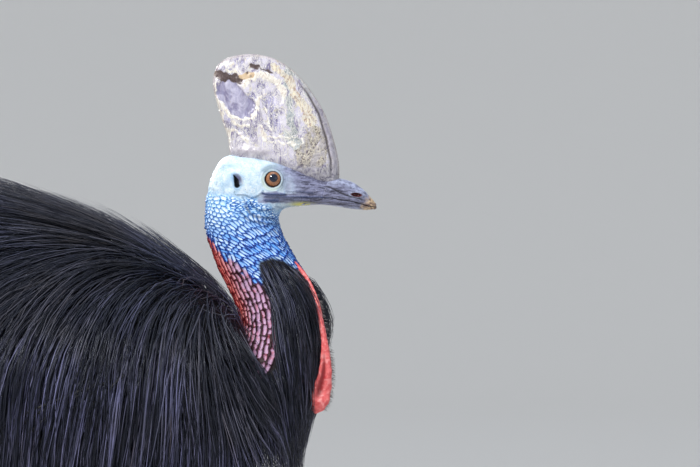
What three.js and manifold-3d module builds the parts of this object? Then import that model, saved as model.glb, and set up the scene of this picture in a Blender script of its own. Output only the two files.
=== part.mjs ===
// Southern cassowary, life size, standing still with its neck drawn back.
// Millimetres. +X is the way the bird faces, +Y its left side, +Z up.
import * as THREE from "three";
import { mergeVertices } from "three/addons/utils/BufferGeometryUtils.js";
import Module from "manifold-3d";

const wasm = await Module();
wasm.setup();

// Driving sizes
const GAP = 0.3; // kept between any two nodes
const COAT = 42; // depth of the lying coat over the back
const COAT_NECK = 15; // and where it thins out at the neck
const COAT_LEG = 20; // and on the leg
const CORE = 0.65; // share of that depth that the core under the locks fills
const HEM = 500; // height of the coat's hanging edge
const LOCK = { long: 245, wide: 78, apart: 87.7 }; // locks of the back and flanks
const MANTLE = { long: 160, wide: 57, apart: 62 }; // shorter, closer ones by the neck
const RUFF = { long: 100, rows: 4, columns: 4, apart: 0.62 };
const BELLY = 0.8; // locks under the belly stand this much further apart
const LEG_LOCK = { long: 120, wide: 46, rows: 2, columns: 6 };
const RIDGE = 0.15; // a lock's thickness as a share of the coat's depth
const EYE = { x: 458, z: 1032, y: 17.5, r: 12.5 };
const FOOT_Y = 98; // each foot's distance from the middle line
const STRIDE = 35; // the right foot stands this far ahead, the left one behind
const SIDES = { right: -1, left: 1 };

// Flesh of the torso: x, top, bottom, half width
const TORSO = [
  [-412, 800, 765, 12],
  [-380, 836, 728, 74],
  [-310, 896, 698, 124],
  [-220, 953, 662, 160],
  [-110, 995, 636, 180],
  [0, 1008, 624, 184],
  [110, 999, 614, 180],
  [230, 965, 606, 166],
  [330, 921, 612, 142],
  [390, 884, 636, 112],
  [432, 838, 672, 72],
  [456, 780, 728, 14],
];
const TORSO_POWER = 2.3;
const TAIL_X = -240; // the tail's node begins behind this
const TAIL_ROOM = 34; // the torso's last locks are rooted this far ahead of it

// Neck from skull to breast: x, z, half depth, half width
const NECK = [
  [424, 1004, 44, 31],
  [421, 980, 45, 35],
  [430, 948, 44, 37],
  [447, 914, 45, 40],
  [464, 878, 48, 46],
  [468, 834, 52, 53],
  [452, 786, 60, 64],
  [410, 738, 74, 82],
  [350, 708, 80, 90],
];
const NECK_CUT = 2.75; // place along it where the feathered part begins
const NECK_POWER = 2.1;

// Skull and bill in one: x, top, bottom, half width
const HEAD = [
  [379, 1022, 1006, 6],
  [385, 1040, 989, 17],
  [396, 1057, 982, 25],
  [412, 1063, 980, 30],
  [431, 1062, 984, 31],
  [449, 1058, 991, 29.5],
  [467, 1054, 996, 26.5],
  [486, 1049, 999, 22],
  [502, 1042, 1000.5, 19],
  [519, 1035.5, 1001, 16.5],
  [540, 1033.5, 998.5, 14],
  [556, 1029, 996, 12],
  [569, 1020.5, 994.6, 9],
  [580, 1009, 995.2, 5.5],
  [586.5, 1001, 996.8, 2],
];
const HEAD_POWER = 2.2;
const MOUTH = [
  [444, 1011.6],
  [470, 1011.2],
  [524, 1010.2],
  [540, 1007.4],
  [556, 1005],
  [570, 1001.2],
  [581, 998.6],
  [600, 998.4],
];
const UPPER_BILL_X = 521; // horn of the upper bill starts here
const LOWER_BILL_X = 492;
const NOSTRIL = { x: 561.5, y: 11.5, z: 1013.2, long: 6.5, deep: 5, high: 2.1 };
const EAR = { x: 414, y: 32, z: 1029, long: 4.6, deep: 7, high: 9 };
const LIDS = { r: 11.3, thick: 2.6, out: 8.6, stretch: 1.12 };

// Casque seen from the side, from its rear foot over the top to its front foot
const CASQUE = [
  [412, 1045],
  [406, 1062],
  [403.5, 1083],
  [396, 1106],
  [388, 1133],
  [385, 1150],
  [387.5, 1166],
  [397, 1178],
  [413, 1184.5],
  [437, 1186],
  [462, 1180],
  [486, 1164],
  [507, 1139],
  [523, 1112],
  [533, 1083],
  [539.5, 1055],
  [540, 1033],
  [534, 1024],
];
const CASQUE_MIDDLE = [465, 1085];
const CASQUE_LOW = 21; // half thickness at its base
const CASQUE_HIGH = 9.5; // and near its top
const KEEL = 1.6; // and along its rim

// Wattle: x, y, z, half width seen from the side, half thickness
const WATTLE = [
  [474, 8, 938, 3, 3],
  [487, 13, 928, 2.6, 2.6],
  [498, 20, 914.5, 2.6, 2.4],
  [506, 28, 900, 2.8, 2.4],
  [513, 35, 881.5, 3, 2.5],
  [518, 39.5, 859, 3.3, 2.6],
  [522, 42, 835, 4, 2.9],
  [523.5, 43, 812, 6.2, 3.6],
  [523, 43, 795, 8, 4.3],
  [520, 42, 779, 10.6, 5.2],
  [517, 41, 766, 11.8, 5.6],
  [513.5, 40, 755, 10, 4.8],
];

// Leg, with the foot under the body: x, y, z, radius
const HIP = [-20, 92, 800, 94];
const KNEE = [90, 108, 728, 76];
const DRUM = [28, 112, 584, 56];
const CUFF = [-42, 106, 466, 29];
const SHIN = [-42, 106, 466, 22];
const ANKLE = [-82, 102, 372, 25];
const FOOT_JOINT = [0, FOOT_Y, 46, 24];
const SHANK = { front: 19, side: 16, scutes: 8, step: 2.4 };

// Toes: name, degrees outwards from straight ahead, root's place outwards, length without claw,
// radius at the root, claw length
const TOES = [
  ["inner", -27, -17, 86, 15.5, 96],
  ["middle", 2, 0, 140, 18, 44],
  ["outer", 30, 17, 102, 15, 34],
];
const FOOT_REACH = 46; // the toes' own nodes begin this far from the foot's joint

// Arm of the wing: x, y, z, radius
const ARM = [
  [322, 167, 806, 10],
  [266, 187, 794, 9.5],
  [210, 198, 772, 8],
];
const QUILL = { count: 5, long: 215, longer: 24, half: 2.8, over: 5 }; // over the coat

const Y = new THREE.Vector3(0, 1, 0);
const Z = new THREE.Vector3(0, 0, 1);
const point = (x, y, z) => new THREE.Vector3(x, y, z);
const { lerp, clamp, degToRad } = THREE.MathUtils;
const smoothstep = (low, high, value) => {
  const t = clamp((value - low) / (high - low), 0, 1);
  return t * t * (3 - 2 * t);
};
const evenly = (from, to, steps) =>
  Array.from({ length: steps + 1 }, (_, i) => from + ((to - from) * i) / steps);

// The same draw each time, so that every lock keeps its own small lean
let seed = 20250731;
function random() {
  seed = (seed + 0x6d2b79f5) | 0;
  let t = Math.imul(seed ^ (seed >>> 15), 1 | seed);
  t = (t + Math.imul(t ^ (t >>> 7), 61 | t)) ^ t;
  return ((t ^ (t >>> 14)) >>> 0) / 4294967296;
}
const vary = (share) => 1 + share * (2 * random() - 1);

// A smooth curve through rows of numbers, read at a place counted in rows.
function through(rows) {
  return (place) => {
    const i = clamp(Math.floor(place), 0, rows.length - 2);
    const t = place - i;
    const a = rows[i];
    const b = rows[i + 1];
    const before = rows[Math.max(i - 1, 0)];
    const after = rows[Math.min(i + 2, rows.length - 1)];
    return a.map((start, c) => {
      const out = (b[c] - before[c]) / (i > 0 ? 2 : 1);
      const into = (after[c] - start) / (i + 2 < rows.length ? 2 : 1);
      return (
        start * (1 + 2 * t) * (1 - t) ** 2 +
        out * t * (1 - t) ** 2 +
        b[c] * t * t * (3 - 2 * t) +
        into * t * t * (t - 1)
      );
    });
  };
}

// The same, read at a value of the first column.
function along(rows) {
  const curve = through(rows);
  const last = rows.length - 1;
  return (value) => {
    const inside = clamp(value, rows[0][0], rows[last][0]);
    let low = 0;
    while (low < last - 1 && inside > rows[low + 1][0]) low++;
    let high = low + 1;
    for (let n = 0; n < 16; n++) {
      const middle = (low + high) / 2;
      if (curve(middle)[0] < inside) low = middle;
      else high = middle;
    }
    return curve((low + high) / 2);
  };
}

// Closed skin through rings of points; a ring of one point closes an end.
function loft(rings) {
  const positions = [];
  const index = [];
  const starts = rings.map((ring) => {
    const start = positions.length / 3;
    for (const p of ring) positions.push(p.x, p.y, p.z);
    return start;
  });
  for (let i = 0; i + 1 < rings.length; i++) {
    const [m, n] = [rings[i].length, rings[i + 1].length];
    const [a, b] = [starts[i], starts[i + 1]];
    for (let j = 0; j < Math.max(m, n); j++) {
      const k = (j + 1) % Math.max(m, n);
      if (m > 1) index.push(a + j, b + (n > 1 ? j : 0), a + k);
      if (n > 1) index.push(a + (m > 1 ? k : 0), b + j, b + k);
    }
  }
  const cap = (start, n, turned) => {
    for (let j = 1; j + 1 < n; j++) {
      index.push(start, start + (turned ? j + 1 : j), start + (turned ? j : j + 1));
    }
  };
  cap(starts[0], rings[0].length, false);
  cap(starts.at(-1), rings.at(-1).length, true);
  const geometry = new THREE.BufferGeometry();
  geometry.setAttribute("position", new THREE.Float32BufferAttribute(positions, 3));
  geometry.setIndex(index);
  return geometry;
}

// A closed geometry as a solid that can be joined and cut, turned so that its faces point out.
function solid(geometry) {
  geometry.deleteAttribute("normal");
  geometry.deleteAttribute("uv");
  const merged = mergeVertices(geometry, 1e-3);
  const triVerts = new Uint32Array(merged.index.array);
  const vertProperties = new Float32Array(merged.attributes.position.array);
  const make = () =>
    new wasm.Manifold(new wasm.Mesh({ numProp: 3, vertProperties, triVerts }));
  const made = make();
  if (made.volume() > 0) return made;
  for (let i = 0; i < triVerts.length; i += 3) {
    [triVerts[i + 1], triVerts[i + 2]] = [triVerts[i + 2], triVerts[i + 1]];
  }
  return make();
}

const joined = (solids) => solids.reduce((all, one) => all.add(one));

// A solid's geometry, with only its largest closed surface: the crumbs a cut leaves are dropped,
// and a hollow shut in between locks is filled.
function largest(made) {
  const geometryOf = ({ vertProperties, triVerts }) => {
    const geometry = new THREE.BufferGeometry();
    geometry.setAttribute("position", new THREE.BufferAttribute(vertProperties, 3));
    geometry.setIndex(new THREE.BufferAttribute(triVerts, 1));
    return geometry;
  };
  const bodies = solid(geometryOf(made.getMesh())).decompose();
  const best = bodies.reduce((most, one) => (one.volume() > most.volume() ? one : most));
  return geometryOf(best.getMesh());
}

// One ring of a rounded section round a centre; power 2 is an ellipse, more is squarer.
function ring(centre, across, up, halfAcross, halfUp, count, power = 2) {
  return Array.from({ length: count }, (_, j) => {
    const angle = (2 * Math.PI * (j + 0.5)) / count;
    const bend = (value) => Math.sign(value) * Math.abs(value) ** (2 / power);
    return centre
      .clone()
      .addScaledVector(across, bend(Math.cos(angle)) * halfAcross)
      .addScaledVector(up, bend(Math.sin(angle)) * halfUp);
  });
}

// A body lofted along X from rows of x, top, bottom, half width.
function bodyLoft(rows, steps, count, power, grow = () => 0) {
  const curve = through(rows);
  return loft(
    evenly(0, rows.length - 1, steps).map((place) => {
      const [x, top, bottom, half] = curve(place);
      const more = grow(x);
      const centre = point(x, 0, (top + bottom) / 2);
      return ring(centre, Y, Z, half + more, (top - bottom) / 2 + more, count, power);
    }),
  );
}

// A limb through rows of x, y, z, radius, with a low cone on each end.
function limb(rows, steps, count, grow = 0) {
  const curve = through(rows);
  const last = rows.length - 1;
  const rings = [];
  for (const place of evenly(0, last, steps)) {
    const [x, y, z, r] = curve(place);
    const ahead = curve(Math.min(place + 0.2, last));
    const behind = curve(Math.max(place - 0.2, 0));
    const way = point(...ahead).sub(point(...behind)).normalize();
    const side = Y.clone().addScaledVector(way, -way.y).normalize();
    const front = new THREE.Vector3().crossVectors(side, way);
    const centre = point(x, y, z);
    if (place === 0) rings.push([centre.clone().addScaledVector(way, -0.5 * r - grow)]);
    rings.push(ring(centre, front, side, r + grow, r + grow, count));
    if (place === last) rings.push([centre.clone().addScaledVector(way, 0.5 * r + grow)]);
  }
  return solid(loft(rings));
}

// A prism that runs through the bird from side to side, with its outline given in X and Z.
function prism(outline, halfWidth = 90) {
  const shape = new THREE.Shape(outline.map(([x, z]) => new THREE.Vector2(x, z)));
  const geometry = new THREE.ExtrudeGeometry(shape, { depth: 2 * halfWidth, bevelEnabled: false });
  geometry.rotateX(Math.PI / 2);
  geometry.translate(0, halfWidth, 0);
  return solid(geometry);
}

function ball(x, y, z, rx, ry, rz, around = 12, rings = 8) {
  const geometry = new THREE.SphereGeometry(1, around, rings);
  geometry.scale(rx, ry, rz);
  geometry.translate(x, y, z);
  return solid(geometry);
}

const bird = new THREE.Group();
function add(name, made, color, roughness) {
  const geometry = largest(made);
  geometry.computeVertexNormals();
  const material = new THREE.MeshStandardMaterial({ color, roughness, metalness: 0 });
  const node = new THREE.Mesh(geometry, material);
  node.name = name;
  bird.add(node);
}

// Flesh that carries coat: each function gives a point's distance from it and the way out
const torsoAt = along(TORSO);
function offTorso(p) {
  const x = clamp(p.x, TORSO[0][0] + 6, TORSO.at(-1)[0] - 6);
  const level = (at, y, z) => {
    const [, top, bottom, half] = torsoAt(at);
    const up = (z - (top + bottom) / 2) / ((top - bottom) / 2);
    return (Math.abs(y / half) ** TORSO_POWER + Math.abs(up) ** TORSO_POWER) ** (1 / TORSO_POWER);
  };
  const here = level(x, p.y, p.z);
  const slope = point(
    level(x + 1, p.y, p.z) - level(x - 1, p.y, p.z),
    level(x, p.y + 1, p.z) - level(x, p.y - 1, p.z),
    level(x, p.y, p.z + 1) - level(x, p.y, p.z - 1),
  ).divideScalar(2);
  const distance = (here - 1) / slope.length();
  const out = slope.normalize();
  if (x === p.x) return { distance, out };
  const past = out.multiplyScalar(Math.max(distance, 0)).add(point(p.x - x, 0, 0));
  return { distance: past.length(), out: past.normalize() };
}

// A limb is read as the row of balls that fills it
function offLimb(rows) {
  const curve = through(rows);
  const balls = evenly(0, rows.length - 1, 12).map(curve);
  return (p) => {
    let best;
    for (const [x, y, z, r] of balls) {
      const away = p.clone().sub(point(x, y, z));
      const distance = away.length() - r;
      if (!best || distance < best.distance) best = { distance, out: away.normalize() };
    }
    return best;
  };
}

const neckCurve = through(NECK);
function neckFrame(place) {
  const [x, z, deep, wide] = neckCurve(place);
  const [x1, z1] = neckCurve(Math.min(place + 0.3, NECK.length - 1));
  const [x0, z0] = neckCurve(Math.max(place - 0.3, 0));
  const way = point(x1 - x0, 0, z1 - z0).normalize();
  return { centre: point(x, 0, z), front: point(-way.z, 0, way.x), way, deep, wide };
}
const neckFrames = evenly(0, NECK.length - 1, 32).map(neckFrame);
function offNeck(p) {
  let best;
  for (const { centre, front, deep, wide } of neckFrames) {
    const u = p.clone().sub(centre).dot(front);
    const level = Math.hypot(u / deep, p.y / wide);
    const slope = point(0, p.y / wide ** 2, 0).addScaledVector(front, u / deep ** 2);
    const distance = ((level - 1) * level) / slope.length();
    const far = p.clone().sub(centre).addScaledVector(front, -u).setY(0).length();
    if (!best || far < best.far) best = { far, distance, out: slope.normalize() };
  }
  return best;
}

// Which way the coat lies: nearly level along the back, steep on the flanks, down at the breast
function lieOfBody(p, out) {
  const flank = 84 - 70 * smoothstep(760, 1020, p.z) - 16 * smoothstep(-200, -400, p.x);
  const mantle = Math.max(flank, 62 * smoothstep(290, 400, p.x));
  const steep = degToRad(lerp(mantle, 50, smoothstep(0.4, 0.9, -out.z)));
  return point(-Math.cos(steep), 0, -Math.sin(steep));
}
function depthOfBody(p) {
  const mantle = lerp(COAT, COAT_NECK, smoothstep(270, 420, p.x));
  return lerp(mantle, 40, smoothstep(770, 700, p.z));
}

// A lock's path: it is rooted at a share of the coat's depth, follows the flesh with the lie of the
// coat, rises to the full depth, and hangs free where the flesh turns under. Neighbours push it aside.
const STEPS = 8;
function trace(root, length, turn, { off, lie, depth, rooted, neighbours = [] }) {
  const path = [];
  const at = root.clone();
  for (let i = 0; i <= STEPS; i++) {
    const deep = depth(at);
    const height = deep * (rooted + (1 - rooted) * (i / STEPS) ** 0.45);
    const near = off(at);
    const hanging = smoothstep(-0.05, -0.4, near.out.z);
    const short = height - near.distance;
    at.addScaledVector(near.out, short > 0 ? short : short * (1 - hanging));
    for (const [neighbour, room] of neighbours) {
      const other = neighbour(at);
      const close = Math.min(room, deep * (i / STEPS)) - other.distance;
      if (i > 0 && close > 0) at.addScaledVector(other.out, close);
    }
    path.push({ at: at.clone(), out: near.out, thick: deep * RIDGE });
    const way = lie(at, near.out).applyAxisAngle(near.out, turn * (1 - i / STEPS));
    way.addScaledVector(near.out, -way.dot(near.out) * (1 - hanging));
    at.addScaledVector(way.normalize(), length / STEPS);
  }
  return path;
}

// A lock is a flat blade with a low ridge, wide through its middle and drawn to a point; its sections
// are steps along its path, each with a share of its width
const BLADE = [
  [0, 0.6],
  [2, 0.95],
  [4, 1],
  [6, 0.74],
];
const SHORT_BLADE = [
  [0, 0.7],
  [3, 1],
  [6, 0.76],
];
function lock({ path, width, blade = BLADE }, grow = 0) {
  const section = (step, share, thinned) => {
    const { at, out, thick } = path[step];
    const ahead = path[Math.min(step + 1, STEPS)].at;
    const way = ahead.clone().sub(path[Math.max(step - 1, 0)].at).normalize();
    const across = new THREE.Vector3().crossVectors(way, out).normalize();
    const up = new THREE.Vector3().crossVectors(across, way);
    const high = thick * thinned;
    const half = (width / 2) * share * (1 + (4.5 * grow) / Math.max(high, 1)) + 3 * grow;
    const base = at.clone().addScaledVector(up, -2 * grow);
    const ridge = at.clone().addScaledVector(up, high + 2 * grow);
    return [base.clone().addScaledVector(across, half), ridge, base.addScaledVector(across, -half)];
  };
  const rings = blade.map(([step, share]) => section(step, share, 1 - step / 14));
  if (grow > 0) rings.push(section(STEPS, 0, 0));
  const tip = path[STEPS].at.clone();
  const last = tip.clone().sub(path[STEPS - 1].at).normalize();
  rings.push([tip.addScaledVector(last, 3 * grow)]);
  return solid(loft(rings));
}

// Roots spread evenly over the torso: rings along it, places round each ring, every other ring
// shifted by half a place
function torsoRoots(from, to) {
  const roots = [];
  const curve = through(TORSO);
  let walked = 0;
  let next = 12;
  let odd = false;
  let before = curve(TORSO.length - 1);
  for (const place of evenly(TORSO.length - 1, 0, 600)) {
    const row = curve(place);
    const [x, top, bottom, half] = row;
    walked += Math.hypot(x - before[0], (row[3] - before[3] + row[1] - before[1]) / 2);
    before = row;
    if (walked < next) continue;
    const apart = lerp(LOCK.apart, MANTLE.apart, smoothstep(280, 420, x));
    next += apart * 0.866;
    odd = !odd;
    if (x > from || x < to) continue;
    const ringPoint = (angle) => {
      const bend = (value) => Math.sign(value) * Math.abs(value) ** (2 / TORSO_POWER);
      const up = (bend(Math.cos(angle)) * (top - bottom)) / 2;
      return point(x, bend(Math.sin(angle)) * half, (top + bottom) / 2 + up);
    };
    let round = 0;
    let wanted = odd ? apart / 2 : 0;
    let last = ringPoint(0);
    for (const angle of evenly(0, Math.PI, 180)) {
      const here = ringPoint(angle);
      round += here.distanceTo(last);
      last = here;
      if (round < wanted) continue;
      wanted += apart * (1 + BELLY * smoothstep(1.9, 2.5, angle) * smoothstep(370, 300, x));
      roots.push(here);
      if (angle > 0.02 && angle < 3.1) roots.push(here.clone().multiply(point(1, -1, 1)));
    }
  }
  return roots;
}

const legRows = (rows, side, forward) =>
  rows.map(([x, y, z, r], i) => [x + forward(i), side * y, z, r]);
const strideOf = (side) => -side * STRIDE;
const thighRows = (side) =>
  legRows([HIP, KNEE, DRUM, CUFF], side, (i) => (strideOf(side) * i) / 3);
const armRows = (side) => legRows(ARM, side, () => 0);

// Locks of the torso or the tail, clear of the neck, the thighs and the arms
const torsoNeighbours = Object.values(SIDES).flatMap((side) => [
  [offLimb(thighRows(side)), COAT_LEG + 4],
  [offLimb(armRows(side)), 6],
]);
function bodyLocks(from, to) {
  return torsoRoots(from, to)
    .filter((root) => offNeck(root).distance > 6 || root.z < 740 || root.x < 330)
    .filter((root) => torsoNeighbours.every(([off]) => off(root).distance > 0 || root.z > 760))
    .map((root) => {
      const share = smoothstep(280, 420, root.x);
      const width = lerp(LOCK.wide, MANTLE.wide, share) * vary(0.08);
      const hem = HEM + 90 * smoothstep(260, 440, root.x) + 50 * smoothstep(-300, -420, root.x);
      const lowest = hem + 14 * (2 * random() - 1);
      const turn = 0.14 * (2 * random() - 1);
      const coat = { off: offTorso, lie: lieOfBody, depth: depthOfBody, rooted: 0.08 };
      let length = lerp(LOCK.long, MANTLE.long, share) * vary(0.08);
      let path = trace(root, length, turn, { ...coat, neighbours: torsoNeighbours });
      for (let i = 0; i < 3 && path[STEPS].at.z < lowest; i++) {
        length = Math.max(length - (lowest - path[STEPS].at.z), 80);
        path = trace(root, length, turn, { ...coat, neighbours: torsoNeighbours });
      }
      return { path, width, blade: root.z < 700 ? SHORT_BLADE : BLADE };
    });
}
const coatOf = (locks, grow = 0) => joined(locks.map((one) => lock(one, grow)));

// Torso and tail share one core, parted by a thin cut
const coreGrowth = (x) => CORE * depthOfBody(point(x, 0, 900));
const bodyCore = (grow) =>
  solid(bodyLoft(TORSO, 12, 12, TORSO_POWER, (x) => coreGrowth(x) + grow));
const torsoLocks = bodyLocks(TORSO.at(-1)[0], TAIL_X + TAIL_ROOM);
const tailLocks = bodyLocks(TAIL_X, TORSO[0][0]);
const core = bodyCore(0);
const coreGrown = bodyCore(GAP);
const tailCore = core.trimByPlane([-1, 0, 0], -TAIL_X);
const tailGrown = coreGrown.trimByPlane([-1, 0, 0], -TAIL_X - GAP).add(coatOf(tailLocks, GAP));
const torsoCore = core.trimByPlane([1, 0, 0], TAIL_X + GAP);

// Neck: bare skin with welts down its nape and sides, and a ruff of locks down its front
const onNeck = (place, angle, out) => {
  const { centre, front, deep, wide } = neckFrame(place);
  return centre
    .clone()
    .addScaledVector(front, Math.cos(angle) * (deep + out))
    .addScaledVector(Y, Math.sin(angle) * (wide + out));
};
const neckFlesh = (from, to, steps, grow = 0) =>
  solid(
    loft(
      evenly(from, to, steps).map((place) => {
        const { centre, front, deep, wide } = neckFrame(place);
        return ring(centre, front, Y, deep + grow, wide + grow, 14, NECK_POWER);
      }),
    ),
  );
function welt(place, angle, long, wide, high) {
  const rings = evenly(-1, 1, 3).map((step) => {
    const at = place + (step * long) / 2;
    const share = Math.sqrt(1 - (step * 0.8) ** 2);
    const turn = wide * share;
    if (Math.abs(step) === 1) return [onNeck(at, angle, -1.5)];
    return [
      onNeck(at, angle - turn, -2.5),
      onNeck(at, angle, high * share),
      onNeck(at, angle + turn, -2.5),
    ];
  });
  return solid(loft(rings));
}
function welts() {
  const solids = [];
  for (const side of Object.values(SIDES)) {
    for (let column = 0; column < 3; column++) {
      for (let row = 0; row < 4; row++) {
        const angle = side * (Math.PI - 0.2 - 0.44 * column);
        const place = 2.45 + 0.35 * column + 0.76 * row + 0.2 * random();
        if (place > 5.4) continue;
        solids.push(welt(place, angle, 0.64 * vary(0.15), 0.16 * vary(0.2), 5 * vary(0.2)));
      }
    }
  }
  return joined(solids);
}
function ruffLocks() {
  const locks = [];
  const coat = {
    off: offNeck,
    lie: () => point(0.06, 0, -1),
    depth: () => COAT_NECK,
    rooted: -0.4,
  };
  for (let row = 0; row < RUFF.rows; row++) {
    for (let column = 0; column < RUFF.columns + (row % 2); column++) {
      const spread = column - (RUFF.columns - 1 + (row % 2)) / 2;
      const place = 3.02 + 0.98 * row + 0.1 * random();
      const root = onNeck(place, RUFF.apart * spread, 0);
      const { deep, wide } = neckFrame(place);
      const length = RUFF.long * vary(0.1) * (1 + 0.1 * row);
      const path = trace(root, length, 0.06 * (2 * random() - 1), coat);
      const width = 0.88 * RUFF.apart * ((deep + wide) / 2) * vary(0.08);
      locks.push({ path, width, blade: SHORT_BLADE });
    }
  }
  return locks;
}
const ruff = ruffLocks();

// Wattles hang from the throat over the ruff, one on each side, folded and bulbous at the end
function wattle(side, grow = 0) {
  const curve = through(WATTLE);
  const last = WATTLE.length - 1;
  const rings = evenly(0, last, 17).map((place, i) => {
    const [x, y, z, wide, thick] = curve(place);
    const [x1, , z1] = curve(Math.min(place + 0.3, last));
    const [x0, , z0] = curve(Math.max(place - 0.3, 0));
    const way = point(x1 - x0, 0, z1 - z0).normalize();
    const across = new THREE.Vector3().crossVectors(Y, way);
    const bulge = 1 + (i % 2 ? 0.12 : -0.08) * smoothstep(6, 9, place);
    const section = ring(point(x, side * y, z), across, Y, wide * bulge + grow, thick + grow, 8);
    const fold = 0.45 * thick * smoothstep(6, 9, place);
    for (const j of [1, 2]) section[j].y -= side > 0 ? fold * (2 - j) : 0;
    for (const j of [5, 6]) section[j].y += side < 0 ? fold * (j - 5) : 0;
    return section;
  });
  const [x, y, z] = WATTLE.at(-1);
  rings.push([point(x - 3, side * y, z - 10.5 - grow)]);
  return solid(loft(rings));
}

// Head: skull with lids, ears and the line of the mouth; the two halves of the bill; the eyes
const headFlesh = (grow = 0) => solid(bodyLoft(HEAD, 17, 12, HEAD_POWER, () => grow));
const mouthAt = along(MOUTH);
const mouthLine = (from, lift) => [
  [from, mouthAt(from)[1] + lift],
  ...MOUTH.filter(([x]) => x > from + 2).map(([x, z]) => [x, z + lift]),
];
const aboveMouth = (from, lift) =>
  prism([...mouthLine(from, lift), [MOUTH.at(-1)[0], 1070], [from, 1070]]);
const belowMouth = (from, lift) =>
  prism([...mouthLine(from, lift), [MOUTH.at(-1)[0], 960], [from, 960]]);

function head() {
  const slit = [...mouthLine(MOUTH[0][0], 0.35), ...mouthLine(MOUTH[0][0], -0.35).reverse()];
  let skull = headFlesh();
  skull = skull.subtract(aboveMouth(UPPER_BILL_X, -GAP)).subtract(belowMouth(LOWER_BILL_X, GAP));
  skull = skull.subtract(prism(slit));
  for (const side of Object.values(SIDES)) {
    const lids = new THREE.TorusGeometry(LIDS.r, LIDS.thick, 5, 12);
    lids.scale(LIDS.stretch, 1, 1);
    lids.rotateX(Math.PI / 2);
    lids.translate(EYE.x, side * (EYE.y + LIDS.out), EYE.z);
    const socket = EYE.r + GAP;
    skull = skull.add(solid(lids));
    skull = skull.subtract(ball(EYE.x, side * EYE.y, EYE.z, socket, socket, socket));
    skull = skull.subtract(ball(EAR.x, side * EAR.y, EAR.z, EAR.long, EAR.deep, EAR.high, 8, 5));
  }
  return skull;
}
function upperBill() {
  const nostrils = Object.values(SIDES).map((side) =>
    ball(NOSTRIL.x, side * NOSTRIL.y, NOSTRIL.z, NOSTRIL.long, NOSTRIL.deep, NOSTRIL.high, 8, 6),
  );
  return headFlesh()
    .intersect(aboveMouth(UPPER_BILL_X + GAP, GAP / 2))
    .subtract(joined(nostrils));
}
const lowerBill = () => headFlesh().intersect(belowMouth(LOWER_BILL_X + GAP, -GAP / 2));

// Casque: a thin blade of horn, thickest low down, with a keel all along its rim
function casque() {
  const edge = new THREE.SplineCurve(CASQUE.map(([x, z]) => new THREE.Vector2(x, z)));
  const rim = evenly(0, 1, 25).map((share) => edge.getPoint(share));
  const middle = new THREE.Vector2(...CASQUE_MIDDLE);
  const shares = [1, 0.9, 0.6];
  const layer = (share, side) =>
    rim.map((p) => {
      const at = middle.clone().lerp(p, share);
      const thick = lerp(CASQUE_LOW, CASQUE_HIGH, smoothstep(1040, 1175, at.y));
      const half = KEEL + (thick - KEEL) * Math.sqrt(1 - share ** 3.2);
      return point(at.x, side * half, at.y);
    });
  return solid(
    loft([
      [point(middle.x, 3 - CASQUE_LOW, middle.y)],
      ...[...shares].reverse().map((share) => layer(share, -1)),
      ...shares.map((share) => layer(share, 1)),
      [point(middle.x, CASQUE_LOW - 3, middle.y)],
    ]),
  );
}

// Legs: feathered to above the ankle, then scaled
const thighFlesh = (side, grow = 0) => limb(thighRows(side), 6, 12, grow);
function thighLocks(side) {
  const rows = thighRows(side);
  const curve = through(rows);
  const coat = {
    off: offLimb(rows),
    lie: () => point(-0.42, 0, -0.9),
    depth: () => COAT_LEG,
    rooted: -0.3,
  };
  const locks = [];
  for (let row = 0; row < LEG_LOCK.rows; row++) {
    const [x, y, z, r] = curve(2.02 + 0.42 * row);
    for (let column = 0; column < LEG_LOCK.columns; column++) {
      const angle = ((column + row / 2) / LEG_LOCK.columns) * 2 * Math.PI;
      const root = point(x + r * Math.cos(angle), y + r * Math.sin(angle), z);
      const length = LEG_LOCK.long * vary(0.1) * (1 - 0.22 * row);
      const path = trace(root, length, 0.1 * (2 * random() - 1), coat);
      const width = LEG_LOCK.wide * (1 - 0.25 * row) * vary(0.08);
      locks.push({ path, width, blade: SHORT_BLADE });
    }
  }
  return locks;
}
const shin = (side) => limb(legRows([SHIN, ANKLE], side, () => strideOf(side)), 3, 12);

// The shank's front carries a column of scutes, each one a step in its surface
function shank(side) {
  const [top, foot] = legRows([ANKLE, FOOT_JOINT], side, () => strideOf(side)).map((row) =>
    point(...row),
  );
  const way = foot.clone().sub(top).normalize();
  const sideways = Y.clone().addScaledVector(way, -way.y).normalize();
  const front = new THREE.Vector3().crossVectors(way, sideways).normalize();
  const length = foot.distanceTo(top);
  const section = (share, step) => {
    const knob = 9 * Math.exp(-((share * length) ** 2) / 900);
    const end = 5 * Math.exp(-(((1 - share) * length) ** 2) / 1600);
    const centre = top.clone().lerp(foot, share);
    const [deep, wide] = [SHANK.front + knob + end, SHANK.side + 0.7 * knob + end];
    return ring(centre, front, sideways, deep, wide, 8).map((p) =>
      p.clone().sub(centre).dot(front) > 0.3 * deep ? p.addScaledVector(front, step) : p,
    );
  };
  const rings = [[top.clone().addScaledVector(way, -24)], section(-0.04, 0)];
  for (let i = 0; i < SHANK.scutes; i++) {
    rings.push(section(0.06 + (0.88 * i) / SHANK.scutes, SHANK.step));
    rings.push(section(0.06 + (0.88 * (i + 0.92)) / SHANK.scutes, 0.2));
  }
  rings.push(section(1, 0), [foot.clone().addScaledVector(way, 17)]);
  return solid(loft(rings));
}

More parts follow.
